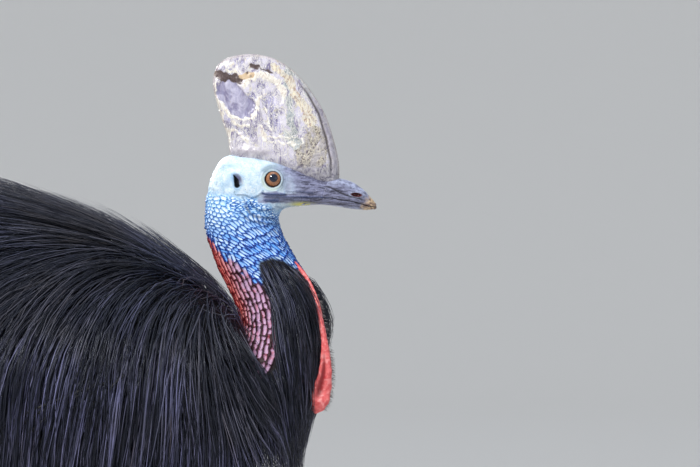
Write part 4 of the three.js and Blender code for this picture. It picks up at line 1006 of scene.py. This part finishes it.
# The wattles
# Two long folds of bare red skin that hang from the throat over the ruff, each ending in a soft lobe.
# They are lofted down their middle lines, with the fold pressed into the inner face.
# Middle line: x, y, z, half width seen from the side, half thickness
WATTLE = [
    [474, 8, 938, 3, 3], [487, 13, 928, 2.4, 2.4], [498, 21, 914.5, 2.4, 2.2], [506, 29.5, 900, 2.6, 2.2],
    [513, 37, 881.5, 2.8, 2.4], [518, 42, 859, 3.1, 2.6], [522, 44.5, 835, 3.9, 2.9], [523.5, 45, 812, 6.2, 3.6],
    [523, 45, 795, 8.2, 4.3], [520, 44, 779, 10.8, 5.2], [517, 43, 766, 12, 5.6], [513.5, 41.5, 755, 10.2, 4.8],
    [511, 41, 747.5, 4.2, 2.6],
]
flap, tree, shader = material("wattle_skin", Subsurface_Weight=0.15, Subsurface_Scale=0.004)
shader.inputs["Subsurface Radius"].default_value = (1.0, 0.3, 0.2)
value, height = grain(220.0, 1100.0)
colour = blend(value, 0.35, 0.65, (0.60, 0.070, 0.075), (0.78, 0.17, 0.17))
colour = laid(ranged(mask("pimple"), 0.1, 0.9), colour, (0.86, 0.33, 0.33))
# Painted shade: the fold pressed into the inner face is coloured dark red.
colour = laid(mask("deep"), colour, (0.22, 0.008, 0.012))
fed(colour, "Base Color")
fed(ranged(height, 0.3, 0.7, 0.38, 0.6), "Roughness")
bump(height, 0.4, 0.0006)
places = np.linspace(0, len(WATTLE) - 1, 150)
middle_x, middle_y, middle_z, wide, thick = through(WATTLE, places).T[..., None]
way = np.gradient(np.concatenate([middle_x, middle_z], 1), axis=0)
way_x, way_z = (way / np.linalg.norm(way, axis=1)[:, None]).T[..., None]
places = places[:, None]
lobe = ease(6.5, 9, places)
wide = wide * (1 + 0.05 * np.sin(places * 5.1) * lobe)
thick = thick * (1 + 0.10 * np.sin(places * 3.7 + 1) * lobe)
sink = ease(6, 8, places) * ease(10.6, 9.4, places)
forward, inward = np.cos(circle(40)), np.sin(circle(40))
fold = 0.75 * thick * sink * bell(forward + 0.25, 0.3) * (inward < 0)
from_middle = middle_y - inward * thick - 0.9 * fold + 1.6 * lobe * np.sin(places * 1.9)
deep = np.clip(np.append(fold / np.maximum(thick, 1) * 1.8, [0, 0]), 0, 1)
for name, side in SIDES.items():
    rings = np.stack([middle_x - way_z * forward * wide, side * from_middle, middle_z + way_x * forward * wide], -1)
    points, groups = tube(rings, rings[0].mean(0), rings[-1].mean(0) - [0.6, 0, 2.6])
    pimples = noise(points, 2.4, 31)
    points = points + normals_of(points, groups[0]) * (0.4 * pimples)[:, None]
    piece = mesh_piece(f"wattle_{name}", points, groups, {"deep": deep, "pimple": pimples})
    piece.data.materials.append(flap)
    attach(piece, "root")
    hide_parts(f"wattle_{name}")

# The claws
# Three horn claws on each foot, the inner one a long straight dagger. Each is a tapered tube with a ridge
# along its back, and starts a little inside the end of its toe.
nails, tree, shader = material("claw_horn", Coat_Weight=0.2, Coat_Roughness=0.3)
value, height = grain(120.0, 700.0)
colour = blend(value, 0.35, 0.7, (0.030, 0.027, 0.025), (0.11, 0.095, 0.08))
fed(colour, "Base Color")
fed(ranged(height, 0.3, 0.7, 0.3, 0.5), "Roughness")
bump(height, 0.3, 0.0005)
OVERLAP = 5
shares, turn_round = np.linspace(0, 0.985, 26)[:, None], circle(20)
ridge = 1 + 0.12 * bell(turn_round - math.pi / 2, 0.35)
for name, side in SIDES.items():
    for toe, (degrees, outwards, length, radius, claw) in TOES.items():
        turn = math.radians(degrees) * side
        way, across = np.array([math.cos(turn), math.sin(turn), 0]), np.array([-math.sin(turn), math.cos(turn), 0])
        root = np.array([FOOT[0] - side * STRIDE, side * (FOOT[1] + outwards), 0]) + way * (length - OVERLAP)
        start = radius * 0.62
        r = start * (1 - shares) ** 0.75
        centre = root + way * claw * shares
        centre[:, 2:] = np.maximum(start * 1.1 * (1 - shares) + 3 * np.sin(shares * math.pi), r)
        rings = centre[:, None] + (r * 0.72 * np.cos(turn_round))[..., None] * across
        rings[..., 2] += r * ridge * np.sin(turn_round)
        points, groups = tube(rings, rings[0].mean(0), root + way * claw + [0, 0, 1.2])
        points[:, 2] = np.maximum(points[:, 2], 0.05)
        piece = mesh_piece(f"claw_{toe}_{name}", points, groups)
        piece.data.materials.append(nails)
        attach(piece, "root")
        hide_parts(f"claw_{toe}_{name}")

# The coat
# Long, loose, hair-like feathers, black with a cold sheen; the brighter blue grey glints on a share of the
# strands are painted highlight. Each is a thin tapered strand rooted in the skin, lying back over the body
# in locks: flat along the back, steep on the flanks, down the breast.
COAT, COAT_MANTLE, COAT_LOW, COAT_LEG, COAT_RUFF = 42, 27, 40, 20, 17  # depths over the flesh
FEATHER, MANTLE_FEATHER, HEM = 215, 150, 500
SPACING = 5.15
STEPS = 5
draw = np.random.default_rng(20250731)


def unit(v):
    return v / np.maximum(np.linalg.norm(v, axis=-1, keepdims=True), 1e-9)


def torso_level(x, y, z):
    top, bottom, half = along(TORSO, x)
    up = (z - (top + bottom) / 2) / ((top - bottom) / 2)
    return (np.abs(y / half) ** TORSO_POWER + np.abs(up) ** TORSO_POWER) ** (1 / TORSO_POWER)


def off_torso(p):
    """How far points are from the body's flesh, and the way out of it."""
    x = np.clip(p[:, 0], TORSO[0][0] + 6, TORSO[-1][0] - 6)
    y, z = p[:, 1], p[:, 2]
    slope = np.stack([torso_level(x + 1, y, z) - torso_level(x - 1, y, z),
                      torso_level(x, y + 1, z) - torso_level(x, y - 1, z),
                      torso_level(x, y, z + 1) - torso_level(x, y, z - 1)], 1) / 2
    steep = np.linalg.norm(slope, axis=1)
    distance = (torso_level(x, y, z) - 1) / steep
    out = slope / steep[:, None]
    past = out * np.maximum(distance, 0)[:, None]
    past[:, 0] += p[:, 0] - x
    beyond = p[:, 0] != x
    distance = np.where(beyond, np.linalg.norm(past, axis=1), distance)
    return distance, np.where(beyond[:, None], unit(past), out)


def off_neck(p):
    walk, ahead, _, deep, wide = neck_at(p[:, 0], p[:, 2])
    level = np.sqrt((ahead / deep) ** 2 + (p[:, 1] / wide) ** 2)
    way = NECK_WAY[np.searchsorted(NECK_WALK, walk)]
    slope = np.stack([-way[:, 1] * ahead / deep ** 2, p[:, 1] / wide ** 2, way[:, 0] * ahead / deep ** 2], 1)
    steep = np.maximum(np.linalg.norm(slope, axis=1), 1e-9)
    return (level - 1) * level / steep, slope / steep[:, None]


def off_balls(rows, places):
    balls = through(rows, places)

    def off(p):
        best, out = np.full(len(p), 1e9), np.zeros_like(p)
        for cx, cy, cz, r in balls:
            away = p - [cx, cy, cz]
            far = np.linalg.norm(away, axis=1)
            closer = far - r < best
            best = np.where(closer, far - r, best)
            out = np.where(closer[:, None], away / far[:, None], out)
        return best, out
    return off


def lie_of_body(p, out):
    """Nearly level along the back, steep on the flanks, straight down at the breast; in degrees below level."""
    flank = 84 - 70 * ease(760, 1020, p[:, 2]) - 16 * ease(-200, -400, p[:, 0])
    mantle = np.maximum(flank, 62 * ease(290, 400, p[:, 0]))
    breast = ease(340, 430, p[:, 0]) * ease(900, 820, p[:, 2])
    mantle = mantle + (98 - mantle) * breast
    under = ease(0.4, 0.9, -out[:, 2])
    steep = np.radians(mantle * (1 - under) + (50 + 42 * breast) * under)
    steep = steep * (1 - ease(290, 380, p[:, 0]) * ease(85, 20, np.abs(p[:, 1])))
    return np.stack([-np.cos(steep), 0 * steep, -np.sin(steep)], 1)


def depth_of_body(p):
    mantle = COAT + (COAT_MANTLE - COAT) * ease(270, 420, p[:, 0])
    low = ease(770, 700, p[:, 2])
    return mantle * (1 - low) + COAT_LOW * low


def turned(v, axis, angle):
    c, s = np.cos(angle)[:, None], np.sin(angle)[:, None]
    return v * c + np.cross(axis, v) * s + axis * np.sum(axis * v, 1)[:, None] * (1 - c)


def trace(root, length, turn, share, off, lie, depth, rooted, neighbours=()):
    """Paths that start at the roots, follow the flesh with the lie of the coat, and hang free below."""
    at = root.copy()
    path, outs = [], []
    for i in range(STEPS + 1):
        t = i / STEPS
        deep = depth(at) * share
        distance, out = off(at)
        hanging = ease(-0.05, -0.4, out[:, 2])
        short = deep * (rooted + (1 - rooted) * t ** 0.45) - distance
        at = at + out * np.where(short > 0, short, short * (1 - hanging))[:, None]
        for neighbour, room in neighbours:
            near, aside = neighbour(at)
            close = np.minimum(room, deep * t) * share - near
            at = at + aside * np.where((close > 0) & (i > 0), close, 0)[:, None]
        path.append(at)
        outs.append(out)
        way = turned(lie(at, out), out, turn * (1 - t))
        way = way - out * (np.sum(way * out, 1) * (1 - hanging))[:, None]
        at = at + unit(way) * (length / STEPS)[:, None]
    return np.stack(path, 1), np.stack(outs, 1)


def gathered(path, root, every):
    """Strands drawn together into locks: each leans towards the middle strand of its lock."""
    chosen = draw.choice(len(root), max(len(root) // every, 1), replace=False)
    tree = KDTree(len(chosen))
    for place, i in enumerate(chosen):
        tree.insert(root[i], place)
    tree.balance()
    lock = np.array([tree.find(p)[1] for p in root])
    pull = 0.62 * np.linspace(0, 1, path.shape[1]) ** 0.8
    guide = path[chosen[lock]]
    return path + (guide - path) * (pull[None] * draw.uniform(0.35, 1.1, len(root))[:, None])[..., None], lock


def strands(name, path, outs, half, unwrapped, tints, thin=0.42):
    """Closed three-sided strands along their paths in one mesh, thin times as thick as wide, drawn to a point."""
    count, rings = path.shape[0], path.shape[1] - 1
    way = unit(np.gradient(path, axis=1))
    across = unit(np.cross(way, outs))
    up = np.cross(across, way)
    t = np.arange(rings) / rings
    taper = (np.minimum(1, 0.55 + 2.2 * t) * (1 - t ** 2.2) ** 0.8)[None, :, None] * half[:, None, None]
    base = path[:, :rings]
    a, b = across[:, :rings] * taper, up[:, :rings] * taper * thin
    ring = np.stack([base + a - b * 0.5, base + b, base - a - b * 0.5], 2)
    points = np.concatenate([ring.reshape(count, -1, 3), path[:, -1:]], 1)
    each = points.shape[1]
    quads, fans = [], [[0, 1, 2]]
    for i in range(rings - 1):
        for j in range(3):
            k = (j + 1) % 3
            quads.append([3 * i + j, 3 * i + 3 + j, 3 * i + 3 + k, 3 * i + k])
    for j in range(3):
        fans.append([3 * rings - 3 + (j + 1) % 3, 3 * rings - 3 + j, 3 * rings])
    shift = (np.arange(count) * each)[:, None, None]
    groups = [(np.array(group)[None] + shift).reshape(-1, len(group[0])) for group in (quads, fans)]
    level = np.append(np.repeat(t, 3), 1)
    piece = mesh_piece(name, points.reshape(-1, 3), groups, {
        "tint": np.repeat(tints, each), "reach": np.tile(level, count),
    })
    spots = unwrapped[:, None, :] + 0.003 * np.stack([np.append(np.tile([0, 0.5, 1], rings), 0.5), level], 1)[None]
    corner = np.concatenate([group.ravel() for group in groups])
    layer = piece.data.uv_layers.new(name="OFBake")
    layer.data.foreach_set("uv", spots.reshape(-1, 2)[corner].astype(np.float32).ravel())
    return piece


feather, tree, shader = material("feathers", Specular_IOR_Level=0.6, Sheen_Weight=0.04, Sheen_Roughness=0.35)
shader.inputs["Specular Tint"].default_value = (0.80, 0.85, 1.0, 1.0)
shader.inputs["Sheen Tint"].default_value = (0.40, 0.50, 1.0, 1.0)
tint, reach = mask("tint"), mask("reach")
value, _ = grain(25.0, 500.0)
colour = blend(tint, 0.2, 0.75, (0.0016, 0.0017, 0.0034), (0.014, 0.016, 0.030))
height = wired("SeparateXYZ", own_place()).node.outputs["Z"]
# Painted highlight: strands with a high tint carry bright grey glints in their colour, bluer in soft patches and
# brighter and bluer low on the body.
low_down = ranged(height, SET_DOWN[2] + 0.92, SET_DOWN[2] + 0.72)
cold = ranged(spots(7.0, 2.0), 0.42, 0.58)
painted_glint = laid(cold, laid(low_down, (0.066, 0.062, 0.070), (0.130, 0.128, 0.175)),
             laid(low_down, (0.080, 0.085, 0.150), (0.220, 0.220, 0.420)))
colour = blend(tint, 0.56, 0.86, colour, painted_glint)
brown_tip = maths("MULTIPLY", ranged(tint, 0.90, 1.0), ranged(reach, 0.2, 0.9))
colour = laid(brown_tip, colour, (0.085, 0.062, 0.050))
fed(laid(ranged(value, 0.5, 0.8, 0.0, 0.5), colour, (0.013, 0.011, 0.013)), "Base Color")
fed(ranged(tint, 0.0, 1.0, 0.26, 0.46), "Roughness")


def round_torso(row, angle):
    """Points round the body at the angles from its top, from x, top, bottom and half width."""
    x, top, bottom, half = row
    side, up = (np.sign(wave) * np.abs(wave) ** (2 / TORSO_POWER) for wave in (np.sin(angle), np.cos(angle)))
    return np.stack([0 * angle + x, side * half, (top + bottom) / 2 + up * (top - bottom) / 2], 1)


# Roots all over the body: rows across it from the breast to the tail, and places round each row
roots, flats = [], []
line = through(TORSO, np.linspace(len(TORSO) - 1, 0, 4000))
walked = np.cumsum(np.hypot(np.gradient(line[:, 0]), (np.gradient(line[:, 1]) + np.gradient(line[:, 3])) / 2))
angles = np.linspace(0, 2 * math.pi, 181)
for walk in np.arange(2, walked[-1], SPACING):
    ring = round_torso([np.interp(walk, walked, line[:, c]) for c in range(4)], angles)
    round_body = np.append(0, np.cumsum(np.linalg.norm(np.diff(ring, axis=0), axis=1)))
    places = max(int(round_body[-1] / SPACING), 3)
    at = (np.arange(places) + draw.uniform(-0.5, 0.5, places) + 0.5) / places * round_body[-1]
    angle = np.interp(at, round_body, angles)
    shift = walk + draw.uniform(-0.5, 0.5, places) * SPACING
    roots.append(round_torso([np.interp(shift, walked, line[:, c]) for c in range(4)], angle))
    flats.append(np.stack([shift / walked[-1] * 0.99, angle / (2 * math.pi) * 0.99], 1))
root, spot = np.concatenate(roots), np.concatenate(flats)
thighs = {side: off_balls(thigh_line(side), np.linspace(0, 3, 13)) for side in (-1, 1)}
neck_off, _ = off_neck(root)
keep = (neck_off > -6) | (root[:, 0] < 380)
for off in thighs.values():
    keep &= (off(root)[0] > -2) | (root[:, 2] > 740)
root, spot = root[keep], spot[keep]
count = len(root)
share = 1 - 0.72 * draw.uniform(0, 1, count) ** 2.0
fore = ease(280, 420, root[:, 0])
length = (FEATHER + (MANTLE_FEATHER - FEATHER) * fore) * draw.uniform(0.72, 1.18, count)
turn = 0.30 * noise(root, 70, 40) + 0.14 * draw.normal(size=count)
neighbours = [(off, COAT_LEG + 4) for off in thighs.values()] + [(off_neck, 7)]
body = dict(off=off_torso, lie=lie_of_body, depth=depth_of_body, rooted=0.02, neighbours=neighbours)
# Each is shortened until its tip is above the hem
hem = HEM + 90 * ease(260, 440, root[:, 0]) + 95 * ease(-220, -420, root[:, 0])
hem = hem + 16 * noise(root, 40, 41) + draw.uniform(-12, 12, count) * (1 + 1.6 * ease(-250, -400, root[:, 0]))
for _ in range(3):
    path, outs = trace(root, length, turn, share, **body)
    lower = hem - path[:, -1, 2]
    length = np.where(lower > 0, np.maximum(length - lower, 50), length)
path, outs = trace(root, length, turn, share, **body)
path, lock = gathered(path, root, 16)
down = np.linspace(0, 1, STEPS + 1)
wave = 2.2 * np.sin(down * draw.uniform(3, 9, count)[:, None] + draw.uniform(0, 6, count)[:, None])
path = path + np.cross(outs, unit(np.gradient(path, axis=1))) * (wave * down)[..., None]
half = draw.uniform(0.45, 0.95, count) * 1.0
tints = np.clip(0.7 * draw.uniform(0, 1, count) + 0.3 * (0.5 + 0.5 * np.sin(lock * 12.9)), 0, 1)
zone = np.digitize(root[:, 0], [-150, 130]) * 2 + (root[:, 1] > 0)
for number, name in enumerate(("rump_right", "rump_left", "back_right", "back_left", "mantle_right", "mantle_left")):
    some = zone == number
    piece = strands(f"coat_{name}", path[some], outs[some], half[some], spot[some], tints[some])
    piece.data.materials.append(feather)
    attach(piece, "root")

# The ruff
# Shorter, finer black feathers cover the front and sides of the lower neck and sweep down and forward
# past the wattles, their tips standing off a little.
count = 3600
place = draw.uniform(2.2, 6.6, count * 3)
rows = through(NECK, place)
front_way = unit(through(NECK, place + 0.02)[:, :2] - through(NECK, place - 0.02)[:, :2])
angle = draw.uniform(-2.1, 2.1, count * 3)
root = np.stack([rows[:, 0] - front_way[:, 1] * np.cos(angle) * rows[:, 2], np.sin(angle) * rows[:, 3],
                 rows[:, 1] + front_way[:, 0] * np.cos(angle) * rows[:, 2]], 1)
keep = (root[:, 0] > ruff_edge(root[:, 2]) + draw.uniform(-2, 4, len(root)))
keep &= (root[:, 2] < ruff_top(root[:, 0]) - draw.uniform(-1, 5, len(root)))
root = root[keep][:count]
spot = np.stack([(place[keep][:count] - 2) / 5, (angle[keep][:count] + 2.2) / 4.5], 1)
count = len(root)


def lie_of_ruff(p, out):
    forward = 0.5 * ease(860, 925, p[:, 2]) + 0.12
    return unit(np.stack([forward, 0.16 * np.sign(p[:, 1]) * ease(0, 20, np.abs(p[:, 1])), 0 * forward - 1], 1))


length = draw.uniform(52, 100, count)
share = 1 - 0.7 * draw.uniform(0, 1, count) ** 1.6
path, outs = trace(root, length, 0.2 * noise(root, 30, 50) + 0.1 * draw.normal(size=count), share,
                   off=off_neck, lie=lie_of_ruff, depth=lambda p: np.full(len(p), COAT_RUFF), rooted=0.0)
path, _ = gathered(path, root, 12)
stand = draw.uniform(0, 1, count) ** 3 * 7 + (draw.uniform(0, 1, count) > 0.94) * draw.uniform(3, 14, count)
path = path + outs * (stand[:, None] * down ** 1.5)[..., None]
# Tips that would reach past the wattles are drawn back, softly and not all alike
tucked = np.interp(path[..., 2], [690, 742, 760, 790, 822, 842, 862, 900], [484, 498, 508, 513, 516, 524, 536, 560])
past = np.maximum(path[..., 0] - tucked - draw.uniform(-14, 5, count)[:, None], 0)
path[..., 0] += np.where(path[..., 2] < 900, 9 * (1 - np.exp(-past / 9)) - past, 0)
piece = strands("coat_ruff", path, outs, draw.uniform(0.5, 0.85, count), spot, draw.uniform(0, 0.8, count))
piece.data.materials.append(feather)
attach(piece, "root")

# The trousers
# The same feathers, a little shorter, cover the drumsticks down to just above the ankle joint. They are
# rooted round the limb, slant back and down, and end in a ragged cuff.
for name, side in SIDES.items():
    count = 2300
    place = draw.uniform(1.2, 2.9, count)
    rows = through(thigh_line(side), place)
    angle = draw.uniform(0, 2 * math.pi, count)
    root = rows[:, :3] + np.stack([np.cos(angle), np.sin(angle), 0 * angle], 1) * rows[:, 3:]
    spot = np.stack([(place - 1) / 2.2, angle / (2 * math.pi) * 0.99], 1)
    length = draw.uniform(60, 120, count) * (1 - 0.35 * ease(2.2, 2.9, place))
    share = 1 - 0.75 * draw.uniform(0, 1, count) ** 1.8
    path, outs = trace(root, length, 0.15 * draw.normal(size=count), share, off=thighs[side], rooted=0.0,
                       lie=lambda p, out: np.tile([-0.42, 0, -0.9], (len(p), 1)),
                       depth=lambda p: np.full(len(p), COAT_LEG))
    path, _ = gathered(path, root, 12)
    piece = strands(f"coat_thigh_{name}", path, outs, draw.uniform(0.7, 1.05, count), spot,
                    draw.uniform(0, 0.8, count))
    piece.data.materials.append(feather)
    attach(piece, "root")

# The bristles
# Sparse short hairs on the bare parts: pale ones along the outer edge of each wattle, dark ones scattered
# over the skull. Each is a stiff curved strand rooted in the skin.
bristle, tree, shader = material("bristles", Specular_IOR_Level=0.4, Roughness=0.5)
fed(laid(mask("tint"), (0.010, 0.010, 0.014), (0.46, 0.42, 0.42)), "Base Color")
EDGE_HAIRS, SKULL_HAIRS = 170, 260
roots, ways, outs, tints = [], [], [], []
for side in SIDES.values():
    rows = through(WATTLE, draw.uniform(3.5, 11.6, EDGE_HAIRS))
    aside, lift = 0.25 * side * draw.normal(size=EDGE_HAIRS), draw.uniform(-0.5, 0.2, EDGE_HAIRS)
    roots.append(np.stack([rows[:, 0] + rows[:, 3] * 0.9, side * rows[:, 1], rows[:, 2]], 1))
    ways.append(unit(np.stack([np.ones(EDGE_HAIRS), aside, lift], 1)))
    outs.append(np.tile([0, side, 0.0], (EDGE_HAIRS, 1)))
    tints.append(draw.uniform(0.02, 0.9, EDGE_HAIRS))
bare = np.flatnonzero((head_masks["skull"] > 0.6) & (head_masks["rim"] < 0.1) & (head_points[:, 0] < 500))
bare = draw.choice(bare, SKULL_HAIRS, replace=False)
skull_in = -normals_of(head_points, head_faces)[bare]
roots.append(head_points[bare] - 0.3 * skull_in)
ways.append(unit(0.5 * skull_in + [-0.8, 0, -0.5] + 0.3 * draw.normal(size=(SKULL_HAIRS, 3))))
outs.append(skull_in)
tints.append(np.zeros(SKULL_HAIRS))
root, way, out, tints = (np.concatenate(rows) for rows in (roots, ways, outs, tints))
count = len(root)
length = np.where(tints > 0, draw.uniform(3.5, 7.5, count), draw.uniform(1.6, 3.4, count))
t = np.linspace(0, 1, 4)[None, :, None]
path = root[:, None] + (way[:, None] * t - [0, 0, 0.25] * t * t) * length[:, None, None]
spot = np.stack([0.5 + root[:, 0] / 2400, root[:, 2] / 2400], 1)
piece = strands("coat_bristles", path, np.repeat(out[:, None], 4, 1), np.where(tints > 0, 0.20, 0.16), spot, tints,
                thin=0.9)
piece.data.materials.append(bristle)
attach(piece, "root")

# The wing quills
# All that shows of each small wing: five bare black shafts, horn without a vane. They grow from the arm
# at the shoulder and curve back and down over the flank, among the feathers.
# The arm: x, y, z, radius
ARM = [[322, 167, 806, 10], [266, 187, 794, 9.5], [210, 198, 772, 8]]
QUILLS, QUILL_R, QUILL_LONG, QUILL_DEPTH = 5, 1.8, 215, COAT - 19
shaft, tree, shader = material("quills", Roughness=0.6)
value, _ = grain(60.0, 500.0)
fed(laid(value, (0.004, 0.004, 0.006), (0.016, 0.015, 0.017)), "Base Color")
for name, side in SIDES.items():
    points, groups = [], []
    for i in range(QUILLS):
        ax, ay, az, _ = through(ARM, np.array(2 - i * 0.3))
        rows = [[ax + 6, side * (ay - 3), az]]
        at = np.array([[ax, side * ay, az]])
        for share in (0.25, 0.5, 0.75, 1):
            steep = 0.28 + 0.09 * i + 0.75 * share
            at = at + np.array([[-math.cos(steep), 0, -math.sin(steep)]]) * 0.26 * (QUILL_LONG + 24 * i)
            distance, out = off_torso(at)
            at = at + out * (QUILL_DEPTH - distance)[:, None]
            rows.append(at[0])
        centres = through(rows, np.linspace(0, 4, 33))
        way = unit(np.gradient(centres, axis=0))
        aside = unit(np.cross(way, [0, 0, 1.0]))
        r = QUILL_R * (1.02 - np.linspace(0, 1, 33)[:, None, None]) ** 0.5
        a, b = (np.array(wave(circle(10)))[None, :, None] for wave in (np.cos, np.sin))
        rings = centres[:, None] + r * (a * aside[:, None] + b * np.cross(aside, way)[:, None])
        quill, faces = tube(rings[:-1], centres[0], centres[-1])
        groups += [face + sum(len(p) for p in points) for face in faces]
        points.append(quill)
    piece = mesh_piece(f"wing_quills_{name}", np.concatenate(points), groups)
    piece.data.materials.append(shaft)
    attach(piece, "root")
    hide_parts(f"wing_{name}")

# The studio
# A pale floor, a shallow bowl wide enough to look the same from every side, with soft lights; the floor is painted
# darker near its middle as shade that evens out the lamps' pool of light.
# The camera looks level at the head through a long lens.
FLAT, ROUND, WALL, TURNS, UNDER = 24.0, 5.0, 9.0, 96, 0.0005
profile = [(0.9 * i, 0.0) for i in range(1, 10)] + [(12.0, 0.0), (18.0, 0.0), (FLAT, 0.0)]
profile += [(FLAT + ROUND * math.sin(a), ROUND - ROUND * math.cos(a)) for a in np.linspace(0.06, math.pi / 2, 24)]
profile.append((FLAT + ROUND, WALL))
turns = list(circle(TURNS))
sheet = [(0, 0, -UNDER)] + [(r * math.cos(turn), r * math.sin(turn), h - UNDER) for r, h in profile for turn in turns]
sheet_faces = [(0, 1 + j, 1 + (j + 1) % TURNS) for j in range(TURNS)]
for i in range(len(profile) - 1):
    inner, outer = 1 + i * TURNS, 1 + (i + 1) * TURNS
    sheet_faces += [(inner + j, outer + j, outer + (j + 1) % TURNS, inner + (j + 1) % TURNS) for j in range(TURNS)]
sweep = bpy.data.meshes.new("floor")
sweep.from_pydata(sheet, [], sheet_faces)
sweep.polygons.foreach_set("use_smooth", [True] * len(sweep.polygons))
floor = shown("floor", sweep)
paper, tree, shader = material("floor_paper", Roughness=0.9)
value, _ = grain(1.2, 60.0)
# Painted shade: the floor is darker within a few metres of the middle, where the lamps fall, and pale out on the
# sweep.
away = wired("VectorMath", own_place(), operation="LENGTH").node.outputs["Value"]
fed(blend(away, 3.0, 14.0, laid(value, (0.50, 0.495, 0.485), (0.53, 0.525, 0.515)), (0.88, 0.87, 0.85)), "Base Color")
sweep.materials.append(paper)


def lamp(name, at, size, power, colour):
    light = bpy.data.lights.new(name, "AREA")
    light.shape = "DISK"
    light.size, light.energy, light.color = size, power, colour
    made = shown(name, light)
    made.location = at
    made.rotation_euler = Vector(np.array(head_at) - np.array(at)).to_track_quat("-Z", "Y").to_euler()


head_at = tuple(placed([430, 0, 980]))
lamp("key", (-1.5, -2.9, 3.3), 0.9, 150, (1.0, 0.975, 0.94))
lamp("sky", (0.2, -0.6, 4.4), 3.0, 50, (0.84, 0.91, 1.0))
lamp("fill", (3.0, -3.4, 1.5), 2.6, 14, (0.92, 0.95, 1.0))
lamp("rim", (-1.9, 2.9, 2.9), 1.2, 250, (1.0, 0.97, 0.93))
world = bpy.data.worlds.new("studio")
bpy.context.scene.world = world
world.use_nodes = True
sky = world.node_tree.nodes["Background"].inputs
sky["Color"].default_value, sky["Strength"].default_value = (0.86, 0.90, 0.96, 1), 0.66
bpy.context.scene.view_settings.view_transform = "Standard"

DISTANCE, VIEW, SENSOR = 7.0, 0.861, 36
level = placed([553.5, 0, 965.7])
camera = bpy.data.cameras.new("camera")
camera.sensor_width, camera.lens = SENSOR, SENSOR * DISTANCE / VIEW
viewer = shown("camera", camera)
viewer.location = (level[0], level[1] - DISTANCE, level[2])
viewer.rotation_euler = (math.pi / 2, 0, 0)
bpy.context.scene.camera = viewer
